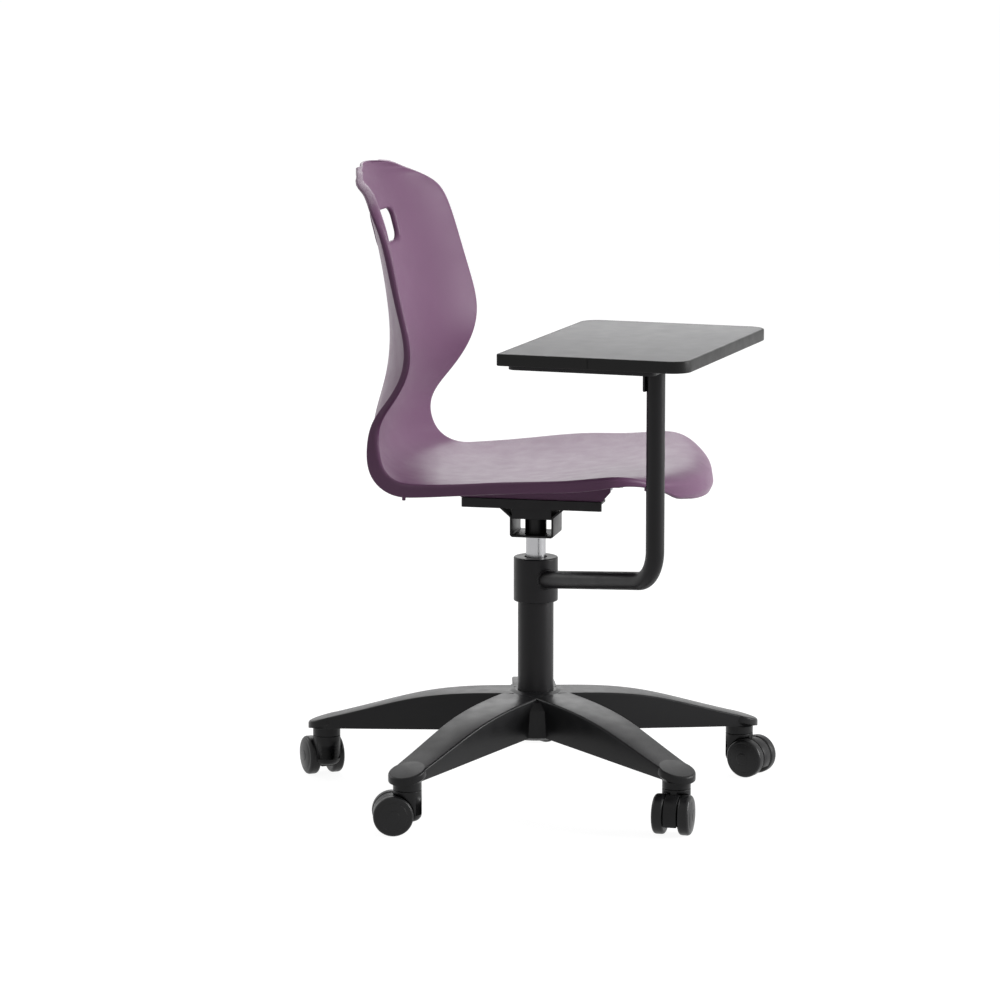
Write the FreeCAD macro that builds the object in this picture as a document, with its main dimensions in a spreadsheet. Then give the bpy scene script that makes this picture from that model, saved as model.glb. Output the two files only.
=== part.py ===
# Swivel chair with a moulded shell, a gas lift, five castors and a writing tablet on a bent tube arm.
# Millimetres. +Z is up, the origin is on the column axis at the floor, and the chair faces -Y.
import FreeCAD, Part
import math
import os
import re
import Sketcher

Vector = FreeCAD.Vector
Rotation = FreeCAD.Rotation
Placement = FreeCAD.Placement
UP = Vector(0, 0, 1)
ORIGIN = Vector(0, 0, 0)

# Driving dimensions, in millimetres unless the name says degrees, count or share.
SIZES = {
    # five-star base
    "leg_count": 5,
    "leg_first_degrees": 14,
    "hub_radius": 40,
    "hub_top": 141,
    "hub_bottom": 79,
    "hub_crown": 4,
    "leg_root": 24,
    "leg_root_top": 143,
    "leg_root_bottom": 89,
    "leg_root_width": 62,
    "leg_middle": 165,
    "leg_middle_top": 128,
    "leg_middle_bottom": 81.5,
    "leg_middle_width": 57,
    "leg_outer": 255,
    "leg_outer_top": 103,
    "leg_outer_bottom": 76,
    "leg_outer_width": 51,
    "castor_radius": 310,
    "leg_tip_top": 87,
    "leg_tip_bottom": 73,
    "leg_tip_width": 44,
    "lip_radius": 24.5,
    "lip_height": 8,
    "leg_draft": 2.5,
    "leg_wall": 4,
    "leg_rib": 3,
    "boss_radius": 19.5,
    "boss_bottom": 60,
    # column
    "tube_outer": 50,
    "tube_wall": 2,
    "tube_top": 328,
    "tube_bottom": 82,
    "tube_floor": 3,
    "tube_floor_bore": 13,
    "tube_taper": 1.2,
    "bush_length": 80,
    "bush_flange": 3,
    "cylinder_outer": 28,
    "cylinder_wall": 3,
    "cylinder_bottom": 112,
    "cylinder_top": 406,
    "cylinder_cap": 14,
    "taper_drop": 0.8,
    "rod_outer": 10,
    "rod_bottom": 75,
    "rod_top": 386,
    "piston_height": 12,
    "guide_height": 14,
    "rod_shoulder": 18,
    "shoulder_height": 3.5,
    "washer_outer": 28,
    "washer_height": 2,
    "ball_size": 4,
    "ball_count": 10,
    "cage_height": 2,
    "clip_outer": 16,
    "clip_height": 1.2,
    "end_washer_height": 1.6,
    "buffer_outer": 25,
    "valve_size": 6,
    "valve_depth": 11,
    "valve_proud": 6,
    "running_gap": 0.1,
    "seat_gap": 0.3,
    # mechanism under the seat
    "plate_length": 198,
    "plate_width": 160,
    "plate_rear": 89,
    "plate_top": 427,
    "plate_sheet": 3,
    "plate_edge": 13,
    "plate_corner": 8,
    "recess_depth": 24,
    "recess_width": 104,
    "bracket_width": 62,
    "bracket_length": 59,
    "bracket_bottom": 365,
    "bracket_sheet": 3,
    "flare_bottom": 393,
    "flare_top": 411,
    "flare_width": 104,
    "foot_width": 128,
    "socket_outer": 30,
    "socket_head_bottom": 391,
    "socket_head_top": 407,
    "screw_side": 66,
    "screw_front": 90,
    "screw_rear": 70,
    "screw_shank": 6,
    "screw_head": 12,
    "screw_head_height": 4,
    "screw_reach": 13,
    "lever_size": 8,
    "lever_pivot": 34,
    "lever_inner": 4,
    "lever_length": 214,
    "lever_boss": 13,
    "lever_boss_width": 9,
    "lever_pin": 5,
    "ear_sheet": 3,
    "ear_width": 16,
    "grip_length": 72,
    "grip_width": 30,
    "grip_height": 12,
    # moulded shell
    "seat_depth": 246,
    "seat_half_width": 229,
    "seat_height": 476,
    "back_reach": 247,
    "shell_top": 882.5,
    "shell_sheet": 4.5,
    "flange_deep": 21,
    "edge_radius": 6.3,
    "slot_width": 104,
    "slot_height": 44,
    "slot_middle": 791,
    "slot_rim": 3,
    "slot_rim_depth": 6,
    "boss_outer": 18,
    "rib_sheet": 3,
    "rib_inset": 4,
    "rib_rear_slope": 24,
    "rib_front_slope": 12,
    "rib_slope_height": 14,
    "lug_size": 5,
    "lug_height": 6,
    "lug_front": 150,
    "lug_rear": 140,
    # writing tablet and its arm
    "arm_turn_degrees": -6.3,
    "collar_outer": 62,
    "collar_bore": 54,
    "collar_bottom": 272,
    "collar_top": 334,
    "collar_lip_bore": 31.5,
    "collar_bush_height": 18,
    "arm_outer": 25,
    "arm_wall": 2,
    "arm_start_height": 301,
    "arm_rise": 49,
    "arm_bend": 48,
    "post_side": 211,
    "post_front": 237.5,
    "tablet_outer_side": 310,
    "tablet_width": 382,
    "tablet_depth": 259,
    "tablet_front": 308,
    "tablet_top": 661,
    "board_sheet": 16,
    "edge_band": 3,
    "edge_proud": 0.6,
    "tablet_corner": 26,
    "tablet_sharp_corner": 4,
    "tablet_plate_sheet": 4,
    "tablet_plate_inset": 9,
    "tablet_plate_width": 178,
    "tablet_plate_front": 24,
    "tablet_plate_length": 190,
    "tab_height": 22,
    "tab_width": 20,
    "tab_sheet": 3,
    "wood_screw": 4,
    "wood_screw_head": 8,
    "wood_screw_reach": 11,
    # castors
    "trail_degrees": -52,
    "trail": 20,
    "wheel_outer": 55,
    "wheel_width": 24.2,
    "wheel_dome": 3,
    "wheel_edge": 5,
    "wheel_gap": 0.5,
    "web_sheet": 8.4,
    "web_radius": 21,
    "housing_radius": 19.5,
    "housing_top": 58.6,
    "housing_bottom": 17,
    "housing_round": 10,
    "housing_clearance": 1.3,
    "stem_size": 11,
    "stem_collar": 17,
    "stem_collar_height": 1.1,
    "stem_top": 84,
    "stem_bottom": 40,
    "stem_foot": 6,
    "stem_step": 53,
    "axle_size": 6,
    "axle_length": 44,
    "overrun": 5,
}

document = FreeCAD.newDocument("TabletChair")
sheet = document.addObject("Spreadsheet::Sheet", "sizes")
for row, (alias, amount) in enumerate(SIZES.items(), start=1):
    sheet.set(f"A{row}", alias)
    sheet.set(f"B{row}", str(amount))
    sheet.setAlias(f"B{row}", alias)
document.recompute()

SUBPARTS = []


def size(alias):
    """The value of one driving dimension, as the sheet holds it."""
    return float(sheet.get(alias))


def bound(formula):
    """A formula of plain aliases, written for the expression engine."""
    return re.sub(r"[a-z][a-z_]+", lambda word: "sizes." + word.group() if word.group() in SIZES
                  else word.group(), formula)


def value(formula):
    """The number that a formula of aliases gives."""
    return float(sheet.evalExpression(bound(formula)))


def origin_plane(body, role):
    """One of a body's own origin planes or axes."""
    return [item for item in body.Origin.OriginFeatures if item.Role == role][0]


def new_body(label):
    """A body that is exported under its label."""
    body = document.addObject("PartDesign::Body", label)
    body.Label = label
    SUBPARTS.append(body)
    return body


def keep(item, label):
    """Name an object as a sub-part."""
    item.Label = label
    SUBPARTS.append(item)
    return item


def place_corner(sketch, line, formulas):
    """Hold the first end of a sketch line at a pair of formulas."""
    for axis, formula in zip(("DistanceX", "DistanceY"), formulas):
        if formula == "0":
            on_axis = -2 if axis == "DistanceX" else -1
            sketch.addConstraint(Sketcher.Constraint("PointOnObject", line, 1, on_axis))
            continue
        number = sketch.addConstraint(Sketcher.Constraint(axis, -1, 1, line, 1, value(formula)))
        sketch.setExpression(f"Constraints[{number}]", bound(formula))


def outline(body, name, role, corners):
    """A closed outline of straight lines on an origin plane, each corner bound to the sheet."""
    sketch = body.newObject("Sketcher::SketchObject", name)
    sketch.AttachmentSupport = [(origin_plane(body, role), "")]
    sketch.MapMode = "FlatFace"
    points = [Vector(value(x), value(y), 0) for x, y in corners]
    count = len(points)
    for index in range(count):
        sketch.addGeometry(Part.LineSegment(points[index], points[(index + 1) % count]))
    for index in range(count):
        sketch.addConstraint(Sketcher.Constraint("Coincident", index, 2, (index + 1) % count, 1))
    for index, formulas in enumerate(corners):
        place_corner(sketch, index, formulas)
    return sketch


def turned(label, corners):
    """A body turned about the vertical axis from half of its section, as (radius, height) corners."""
    body = new_body(label)
    sketch = outline(body, label + "_section", "XZ_Plane", corners)
    turn = body.newObject("PartDesign::Revolution", label + "_turn")
    turn.Profile = sketch
    turn.ReferenceAxis = (sketch, ["V_Axis"])
    turn.Angle = 360
    return body


def ring_corners(inner, outer, low, high):
    """The four corners of a plain ring's section."""
    return [(inner, low), (outer, low), (outer, high), (inner, high)]


def padded(body, name, sketch, length, symmetric=False):
    """A pad of a sketch, to a length bound to the sheet."""
    pad = body.newObject("PartDesign::Pad", name)
    pad.Profile = sketch
    pad.SideType = "Symmetric" if symmetric else "One side"
    pad.setExpression("Length", bound(length))
    return pad


def disc(label, radius, height, base=ORIGIN, direction=UP):
    """A cylinder whose radius and height are bound to the sheet."""
    item = document.addObject("Part::Cylinder", label)
    item.setExpression("Radius", bound(radius))
    item.setExpression("Height", bound(height))
    item.Placement = Placement(base, Rotation(UP, direction))
    return item


def shaped(label, shape):
    """A sub-part whose shape is worked out here from the sheet."""
    item = document.addObject("Part::Feature", label)
    item.Shape = shape
    return keep(item, label)


def box_between(low, high):
    """A plain block between two corners."""
    return Part.makeBox(high[0] - low[0], high[1] - low[1], high[2] - low[2], Vector(*low))


# Five-star base: legs lofted between trapezoid sections, hollow underneath, and a hub with a bore
def leg_section(reach, width, top, bottom):
    """A leg's cross-section at one distance from the column, narrower at the bottom."""
    wide = width / 2
    narrow = wide - size("leg_draft")
    corners = [Vector(reach, -wide, top), Vector(reach, wide, top),
               Vector(reach, narrow, bottom), Vector(reach, -narrow, bottom)]
    return Part.makePolygon(corners + corners[:1])


def leg_stations():
    """Reach, width, top and bottom of the leg, from the hub to the castor."""
    names = ("leg_root", "leg_middle", "leg_outer")
    rows = [(size(name), size(name + "_width"), size(name + "_top"), size(name + "_bottom"))
            for name in names]
    rows.append((size("castor_radius"), size("leg_tip_width"), size("leg_tip_top"), size("leg_tip_bottom")))
    return rows


def make_leg():
    """One leg along +X: its outer loft with a round tip, a hollow from below, ribs and the castor boss."""
    rows = leg_stations()
    wall = size("leg_wall")
    outer = Part.makeLoft([leg_section(*row) for row in rows], True, False)
    pivot = Vector(size("castor_radius"), 0, 0)
    lip_bottom = size("leg_tip_top") - size("lip_height")
    lip = Part.makeCylinder(size("lip_radius"), size("lip_height"), pivot + UP * lip_bottom)
    cone = Part.makeCone(size("boss_radius"), size("lip_radius"), lip_bottom - size("leg_tip_bottom"),
                         pivot + UP * size("leg_tip_bottom"))
    tip = lip.fuse(cone)
    inner_rows = [(reach, width - 2 * wall, top - wall, bottom - size("overrun"))
                  for reach, width, top, bottom in rows]
    hollow = Part.makeLoft([leg_section(*row) for row in inner_rows], True, False)
    hub_core = Part.makeCylinder(size("hub_radius") - wall, size("leg_root_top"))
    boss_core = Part.makeCylinder(size("boss_radius"), size("leg_tip_top"), pivot)
    hollow = hollow.cut(hub_core).cut(boss_core)
    leg = outer.fuse(tip).cut(hollow)
    rib_half = size("leg_rib") / 2
    rib_top = size("leg_root_top")
    rib = box_between((size("hub_radius") - wall, -rib_half, size("leg_tip_bottom")),
                      (size("castor_radius"), rib_half, rib_top))
    cross_ribs = [box_between((reach - rib_half, -size("leg_root_width"), size("leg_tip_bottom")),
                              (reach + rib_half, size("leg_root_width"), rib_top))
                  for reach in (size("leg_middle") - size("hub_radius"), size("leg_middle"),
                                size("leg_middle") + size("hub_radius"), size("leg_outer"))]
    ribs = rib.fuse(cross_ribs).common(outer)
    boss = Part.makeCylinder(size("boss_radius"), size("leg_tip_top") - wall - size("boss_bottom"),
                             Vector(size("castor_radius"), 0, size("boss_bottom")))
    return leg.fuse([ribs, boss])


def make_base():
    """The hub and all legs in one moulding, bored for the column and for each castor stem."""
    hub_high = size("hub_top") - size("hub_bottom")
    hub = Part.makeCylinder(size("hub_radius"), hub_high, Vector(0, 0, size("hub_bottom")))
    crown = Part.makeCone(size("hub_radius"), size("tube_outer") / 2 + size("hub_crown"), size("hub_crown"),
                          Vector(0, 0, size("hub_top")))
    leg = make_leg()
    step = 360 / size("leg_count")
    legs = []
    for index in range(int(size("leg_count"))):
        turned_leg = leg.copy()
        turned_leg.rotate(ORIGIN, UP, size("leg_first_degrees") + index * step)
        legs.append(turned_leg)
    body = hub.fuse([crown] + legs)
    drop = size("overrun")
    low_radius = size("tube_outer") / 2 - size("tube_taper")
    high_radius = size("tube_outer") / 2
    taper_high = size("hub_top") + size("hub_crown") - size("tube_bottom")
    bore = Part.makeCone(low_radius, high_radius, taper_high, Vector(0, 0, size("tube_bottom")))
    crown_top = Vector(0, 0, size("hub_top") + size("hub_crown"))
    bore = bore.fuse([Part.makeCylinder(low_radius, 2 * drop, Vector(0, 0, size("tube_bottom") - 2 * drop)),
                      Part.makeCylinder(high_radius, 2 * drop, crown_top)])
    stems = []
    stem_radius = size("stem_size") / 2 + size("running_gap") / 2
    stem_deep = size("stem_top") + size("seat_gap") - size("boss_bottom") + drop
    for index in range(int(size("leg_count"))):
        stem = Part.makeCylinder(stem_radius, stem_deep,
                                 Vector(size("castor_radius"), 0, size("boss_bottom") - drop))
        stem.rotate(ORIGIN, UP, size("leg_first_degrees") + index * step)
        stems.append(stem)
    return body.cut(bore).cut(stems)


shaped("star_base", make_base().removeSplitter())

# Column tube, its guide bush and the thrust bearing at its foot
tube_radius = "tube_outer / 2"
tube_bore = "tube_outer / 2 - tube_wall"
turned("column_tube", [
    ("tube_floor_bore / 2", "tube_bottom"),
    ("tube_outer / 2 - tube_taper", "tube_bottom"),
    (tube_radius, "hub_top + hub_crown"),
    (tube_radius, "tube_top"),
    (tube_bore, "tube_top"),
    (tube_bore, "hub_top + hub_crown"),
    ("tube_outer / 2 - tube_taper - tube_wall", "tube_bottom + tube_floor"),
    ("tube_floor_bore / 2", "tube_bottom + tube_floor"),
])
turned("guide_bush", [
    ("cylinder_outer / 2 + running_gap", "tube_top - bush_length"),
    (tube_bore, "tube_top - bush_length"),
    (tube_bore, "tube_top"),
    (tube_radius, "tube_top"),
    (tube_radius, "tube_top + bush_flange"),
    ("cylinder_outer / 2 + running_gap", "tube_top + bush_flange"),
])
washer_bore = "rod_outer / 2 + running_gap"
floor_top = "tube_bottom + tube_floor"
ball_low = floor_top + " + washer_height"
upper_low = ball_low + " + ball_size + running_gap"
shoulder_low = upper_low + " + washer_height"
turned("thrust_washer_lower", ring_corners(washer_bore, "washer_outer / 2", floor_top, ball_low))
turned("thrust_washer_upper", ring_corners("rod_outer / 2", "washer_outer / 2", upper_low, shoulder_low))


def make_bearing():
    """A cage ring that holds the balls in round pockets, with the balls as separate solids."""
    middle = value(ball_low) + size("running_gap") / 2 + size("ball_size") / 2
    ring_radius = (size("rod_outer") + size("washer_outer")) / 4
    ball_radius = size("ball_size") / 2
    cage_low = middle - size("cage_height") / 2
    cage = Part.makeCylinder(size("washer_outer") / 2 - size("running_gap"), size("cage_height"),
                             Vector(0, 0, cage_low))
    cage = cage.cut(Part.makeCylinder(size("rod_outer") / 2 + size("seat_gap"), size("cage_height"),
                                      Vector(0, 0, cage_low)))
    balls = []
    for index in range(int(size("ball_count"))):
        angle = 2 * math.pi * index / size("ball_count")
        centre = Vector(ring_radius * math.cos(angle), ring_radius * math.sin(angle), middle)
        balls.append(Part.makeSphere(ball_radius, centre))
        pocket = Part.makeCylinder(ball_radius + size("running_gap") / 2, size("cage_height"),
                                   Vector(centre.x, centre.y, cage_low))
        cage = cage.cut(pocket)
    return Part.makeCompound([cage] + balls)


shaped("thrust_bearing", make_bearing())

# Piston rod with its shoulder, piston, buffer and the clip under the tube
rod_radius = "rod_outer / 2"
turned("piston_rod", [
    ("0", "rod_bottom"),
    (rod_radius, "rod_bottom"),
    (rod_radius, shoulder_low),
    ("rod_shoulder / 2", shoulder_low),
    ("rod_shoulder / 2", shoulder_low + " + shoulder_height"),
    (rod_radius, shoulder_low + " + shoulder_height"),
    (rod_radius, "rod_top"),
    ("0", "rod_top"),
])
cylinder_bore = "cylinder_outer / 2 - cylinder_wall"
turned("piston", ring_corners(rod_radius, cylinder_bore + " - running_gap",
                              "rod_top - piston_height", "rod_top"))
turned("rubber_buffer", ring_corners(rod_radius, "buffer_outer / 2", shoulder_low + " + shoulder_height",
                                     "cylinder_bottom - seat_gap"))
turned("end_washer", ring_corners(rod_radius, "tube_floor_bore / 2 + end_washer_height",
                                  "tube_bottom - seat_gap - end_washer_height", "tube_bottom - seat_gap"))
turned("retaining_clip", ring_corners(rod_radius, "clip_outer / 2",
                                      "tube_bottom - seat_gap - end_washer_height - clip_height",
                                      "tube_bottom - seat_gap - end_washer_height"))

# Gas cylinder with a tapered head, the rod guide in its foot and the valve pin in its head
socket_low = "bracket_bottom"
turned("gas_cylinder", [
    (cylinder_bore, "cylinder_bottom"),
    ("cylinder_outer / 2", "cylinder_bottom"),
    ("cylinder_outer / 2", socket_low),
    ("cylinder_outer / 2 - taper_drop", "cylinder_top"),
    ("valve_size / 2 + running_gap", "cylinder_top"),
    ("valve_size / 2 + running_gap", "cylinder_top - cylinder_cap"),
    (cylinder_bore, "cylinder_top - cylinder_cap"),
])
turned("rod_guide", ring_corners("rod_outer / 2 + running_gap", cylinder_bore, "cylinder_bottom",
                                 "cylinder_bottom + guide_height"))
turned("valve_pin", [
    ("0", "cylinder_top - valve_depth"),
    ("valve_size / 2", "cylinder_top - valve_depth"),
    ("valve_size / 2", "cylinder_top + valve_proud"),
    ("0", "cylinder_top + valve_proud"),
])

# Taper socket and the U-shaped lift bracket, bent from sheet and open to both sides


def make_socket():
    """The socket tube with a square head between the bracket's walls, bored to the cylinder's taper."""
    low, high = size("bracket_bottom"), size("socket_head_top")
    tube = Part.makeCylinder(size("socket_outer") / 2, high - low, UP * low)
    half_deep = size("bracket_length") / 2
    half_wide = size("bracket_width") / 2 - size("bracket_sheet")
    head = box_between((-half_deep, -half_wide, size("socket_head_bottom")), (half_deep, half_wide, high))
    large = size("cylinder_outer") / 2
    small = large - size("taper_drop")
    bore = Part.makeCone(large, small, size("cylinder_top") - low, UP * low)
    return tube.fuse(head).cut(bore).cut(Part.makeCylinder(small, high, UP * low))


shaped("taper_socket", make_socket())
document.recompute()


def bracket_corners():
    """The bent sheet's section across the chair: floor, walls, flare and feet, outside then inside."""
    half = "bracket_width / 2"
    outside = [(half, "bracket_bottom"), (half, "flare_bottom"), ("flare_width / 2", "flare_top"),
               ("flare_width / 2", "plate_top - plate_sheet - bracket_sheet"),
               ("foot_width / 2", "plate_top - plate_sheet - bracket_sheet"),
               ("foot_width / 2", "plate_top - plate_sheet")]
    inside = [("flare_width / 2 - bracket_sheet", "plate_top - plate_sheet"),
              ("flare_width / 2 - bracket_sheet", "flare_top + bracket_sheet / 2"),
              (half + " - bracket_sheet", "flare_bottom + bracket_sheet / 2"),
              (half + " - bracket_sheet", "bracket_bottom + bracket_sheet")]
    right = outside + inside
    left = [("-(" + x + ")", y) for x, y in reversed(right)]
    return right + left


bracket = new_body("lift_bracket")
padded(bracket, "bracket_pad", outline(bracket, "bracket_section", "YZ_Plane", bracket_corners()),
       "bracket_length", symmetric=True)
document.recompute()
bracket_bore = bracket.newObject("PartDesign::Pocket", "bracket_bore")
bore_sketch = bracket.newObject("Sketcher::SketchObject", "bracket_bore_circle")
bore_sketch.AttachmentSupport = [(origin_plane(bracket, "XY_Plane"), "")]
bore_sketch.MapMode = "FlatFace"
bore_sketch.addGeometry(Part.Circle(ORIGIN, UP, value("socket_outer / 2")))
bore_sketch.addConstraint(Sketcher.Constraint("Coincident", 0, 3, -1, 1))
bore_radius = bore_sketch.addConstraint(Sketcher.Constraint("Radius", 0, value("socket_outer / 2")))
bore_sketch.setExpression(f"Constraints[{bore_radius}]", bound("socket_outer / 2"))
bracket_bore.Profile = bore_sketch
bracket_bore.Reversed = True
bracket_bore.setExpression("Length", bound("bracket_bottom + bracket_sheet"))


# Seat plate: a pressed tray with rounded corners, screw holes, a notch for the lever and its two ears
def rounded_block(low, high, radius):
    """A block with rounded vertical corners."""
    block = box_between(low, high)
    upright = [edge for edge in block.Edges
               if abs(edge.Vertexes[0].Point.z - edge.Vertexes[1].Point.z) > (high[2] - low[2]) / 2]
    return block.makeFillet(radius, upright)


def screw_places():
    """The four places where the shell's bosses stand on the plate."""
    side, front, rear = size("screw_side"), size("screw_front"), size("screw_rear")
    return [Vector(x, y, 0) for x in (-side, side) for y in (-front, rear)]


LEVER_HEIGHT = value("cylinder_top + valve_proud + seat_gap + lever_size / 2")


def make_plate():
    """The tray, with what is cut from it and the ears welded under it."""
    half, rear, top = size("plate_width") / 2, size("plate_rear"), size("plate_top")
    front = rear - size("plate_length")
    sheet_thick, low = size("plate_sheet"), top - size("plate_edge")
    tray = rounded_block((-half, front, low), (half, rear, top), size("plate_corner") / 2)
    inside = box_between((-half + sheet_thick, front - sheet_thick, low - sheet_thick),
                         (half - sheet_thick, rear + sheet_thick, top - sheet_thick))
    holes = [Part.makeCylinder(size("screw_shank") / 2 + size("running_gap"), 2 * sheet_thick,
                               place + Vector(0, 0, top - 1.5 * sheet_thick)) for place in screw_places()]
    notch_half = size("lever_boss") / 2
    notch = box_between((half - 2 * sheet_thick, -notch_half, low - sheet_thick),
                        (half + sheet_thick, notch_half, top - sheet_thick))
    across, into = size("recess_width") / 2, size("recess_depth")
    recesses = [rounded_block((-across, front - into, low), (across, front + into, top), into / 2),
                rounded_block((-across, rear - into, low), (across, rear + into, top), into / 2)]
    plate = tray.cut(inside).cut(holes).cut(notch).cut(recesses)
    ear_gap = size("lever_boss_width") / 2 + size("seat_gap")
    pivot, ear_half = size("lever_pivot"), size("ear_width") / 2
    ears = []
    for side in (-1, 1):
        near, far = sorted((side * ear_gap, side * (ear_gap + size("ear_sheet"))))
        ear = box_between((pivot - ear_half, near, LEVER_HEIGHT - ear_half / 2),
                          (pivot + ear_half, far, top - sheet_thick))
        ears.append(ear)
    pin_bore = Part.makeCylinder(size("lever_pin") / 2, size("plate_width"),
                                 Vector(pivot, -size("plate_width") / 2, LEVER_HEIGHT), Vector(0, 1, 0))
    return plate.fuse([ear.cut(pin_bore) for ear in ears])


shaped("seat_plate", make_plate())


def make_screws(places, head_top, head_size, head_height, shank_size, reach):
    """Pan-head screws that point up, as one group of separate solids."""
    solids = []
    for place in places:
        base = Vector(place.x, place.y, head_top)
        head = Part.makeCylinder(head_size / 2, head_height, base - UP * head_height)
        low = head_top - head_height
        rim = [edge for edge in head.Edges
               if abs(edge.BoundBox.ZMax - low) < head_height / 2 and len(edge.Vertexes) == 1]
        head = head.makeFillet(head_height / 3, rim)
        solids.append(head.fuse(Part.makeCylinder(shank_size / 2, reach, base)))
    return Part.makeCompound(solids)


shaped("plate_screws", make_screws(screw_places(), size("plate_top") - size("plate_sheet"),
                                   size("screw_head"), size("screw_head_height"), size("screw_shank"),
                                   size("screw_reach")))


# Release lever: a rod with a pivot boss, its pin and a flat paddle
def make_lever():
    """The rod over the valve pin, with the boss that turns on the pin."""
    start = Vector(-size("lever_inner"), 0, LEVER_HEIGHT)
    rod = Part.makeCylinder(size("lever_size") / 2, size("lever_length") - size("grip_height"), start,
                            Vector(1, 0, 0))
    across = Vector(0, 1, 0)
    pivot = Vector(size("lever_pivot"), -size("lever_boss_width") / 2, LEVER_HEIGHT)
    boss = Part.makeCylinder(size("lever_boss") / 2, size("lever_boss_width"), pivot, across)
    bore = Part.makeCylinder(size("lever_pin") / 2 + size("running_gap") / 2, size("lever_boss_width"),
                             pivot, across)
    return rod.fuse(boss).cut(bore)


shaped("release_lever", make_lever())
pin_length = value("lever_boss_width + 2 * seat_gap + 2 * ear_sheet")
keep(disc("lever_pin", "lever_pin / 2", "lever_boss_width + 2 * seat_gap + 2 * ear_sheet",
          Vector(size("lever_pivot"), -pin_length / 2, LEVER_HEIGHT), Vector(0, 1, 0)), "lever_pin_rod")


def make_grip():
    """The paddle: a flattened, rounded block with a socket for the rod."""
    end = size("lever_length") - size("lever_inner")
    low = (end - size("grip_length"), -size("grip_width") / 2, LEVER_HEIGHT - size("grip_height") / 2)
    high = (end, size("grip_width") / 2, LEVER_HEIGHT + size("grip_height") / 2)
    block = rounded_block(low, high, size("grip_height"))
    block = block.makeFillet(size("grip_height") / 3, [edge for edge in block.Edges
                                                     if abs(edge.BoundBox.ZLength) < size("seat_gap")])
    socket = Part.makeCylinder(size("lever_size") / 2, size("lever_length") - size("grip_height"),
                               Vector(-size("lever_inner"), 0, LEVER_HEIGHT), Vector(1, 0, 0))
    return block.cut(socket)


shaped("lever_grip", make_grip())

# Moulded shell: stations along the middle line, from the front lip over the seat and up the back.
# Each row gives the middle line's depth and height, then the rim's half width, depth and height, then
# the flange's depth as a share of its deepest.
# Depths are shares of the seat's depth forward and of the back's reach rearward, heights up to the seat
# are shares of the seat's height, and above it of the height that is left up to the top.
SHELL_STATION_SHARES = [
    (-0.984, 0.905, 0.300, -0.984, 0.905, 0.31),
    (-0.999, 0.918, 0.425, -0.952, 0.922, 0.31),
    (-1.000, 0.938, 0.550, -0.908, 0.944, 0.31),
    (-0.985, 0.962, 0.705, -0.850, 0.974, 0.31),
    (-0.930, 0.985, 0.840, -0.760, 1.006, 0.35),
    (-0.820, 0.995, 0.920, -0.650, 1.022, 0.46),
    (-0.650, 0.990, 0.952, -0.520, 1.018, 0.64),
    (-0.407, 0.974, 0.972, -0.333, 1.006, 0.76),
    (-0.122, 0.958, 0.992, -0.114, 1.000, 0.76),
    (0.162, 0.947, 0.960, 0.126, 0.989, 0.76),
    (0.425, 0.943, 0.915, 0.356, 0.977, 0.78),
    (0.627, 0.950, 0.868, 0.518, 0.972, 0.88),
    (0.770, 0.973, 0.816, 0.632, 0.977, 0.98),
    (0.850, 1.015, 0.760, 0.713, 1.007, 1.00),
    (0.878, 1.079, 0.700, 0.753, 1.070, 0.82),
    (0.867, 1.158, 0.703, 0.745, 1.146, 0.56),
    (0.834, 1.244, 0.777, 0.648, 1.237, 0.43),
    (0.805, 1.331, 0.847, 0.559, 1.331, 0.42),
    (0.790, 1.442, 0.913, 0.530, 1.442, 0.42),
    (0.801, 1.565, 0.917, 0.571, 1.567, 0.43),
    (0.834, 1.689, 0.880, 0.623, 1.691, 0.45),
    (0.875, 1.790, 0.860, 0.680, 1.810, 0.43),
    (0.915, 1.870, 0.830, 0.737, 1.881, 0.40),
    (0.948, 1.920, 0.740, 0.785, 1.916, 0.37),
    (0.972, 1.952, 0.638, 0.844, 1.943, 0.34),
    (0.982, 1.973, 0.530, 0.899, 1.965, 0.32),
    (0.986, 1.986, 0.418, 0.925, 1.981, 0.31),
    (0.986, 1.994, 0.300, 0.955, 1.991, 0.31),
    (0.972, 1.999, 0.180, 0.972, 1.999, 0.31),
]


def shell_depth(share):
    """A place fore and aft, forward of the column below zero."""
    return share * (size("seat_depth") if share < 0 else size("back_reach"))


def shell_height(share):
    """A height, up to the seat's height for a share of 1 and to the top for a share of 2."""
    if share <= 1:
        return share * size("seat_height")
    return size("seat_height") + (share - 1) * (size("shell_top") - size("seat_height"))


def shell_stations():
    """Middle point, rim point, half width, flange depth and rearward normal of each station."""
    rows = []
    for depth, height, wide, rim_depth, rim_height, flange in SHELL_STATION_SHARES:
        middle = Vector(0, shell_depth(depth), shell_height(height))
        rim = Vector(0, shell_depth(rim_depth), shell_height(rim_height))
        rows.append([middle, rim, wide * size("seat_half_width"), flange * size("flange_deep")])
    last = len(rows) - 1
    for index, row in enumerate(rows):
        ahead, behind = rows[min(index + 1, last)], rows[max(index - 1, 0)]
        run = (ahead[0] - behind[0]).normalize() + (ahead[1] - behind[1]).normalize()
        run.normalize()
        row.append(Vector(0, run.z, -run.y))
    return rows


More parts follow.
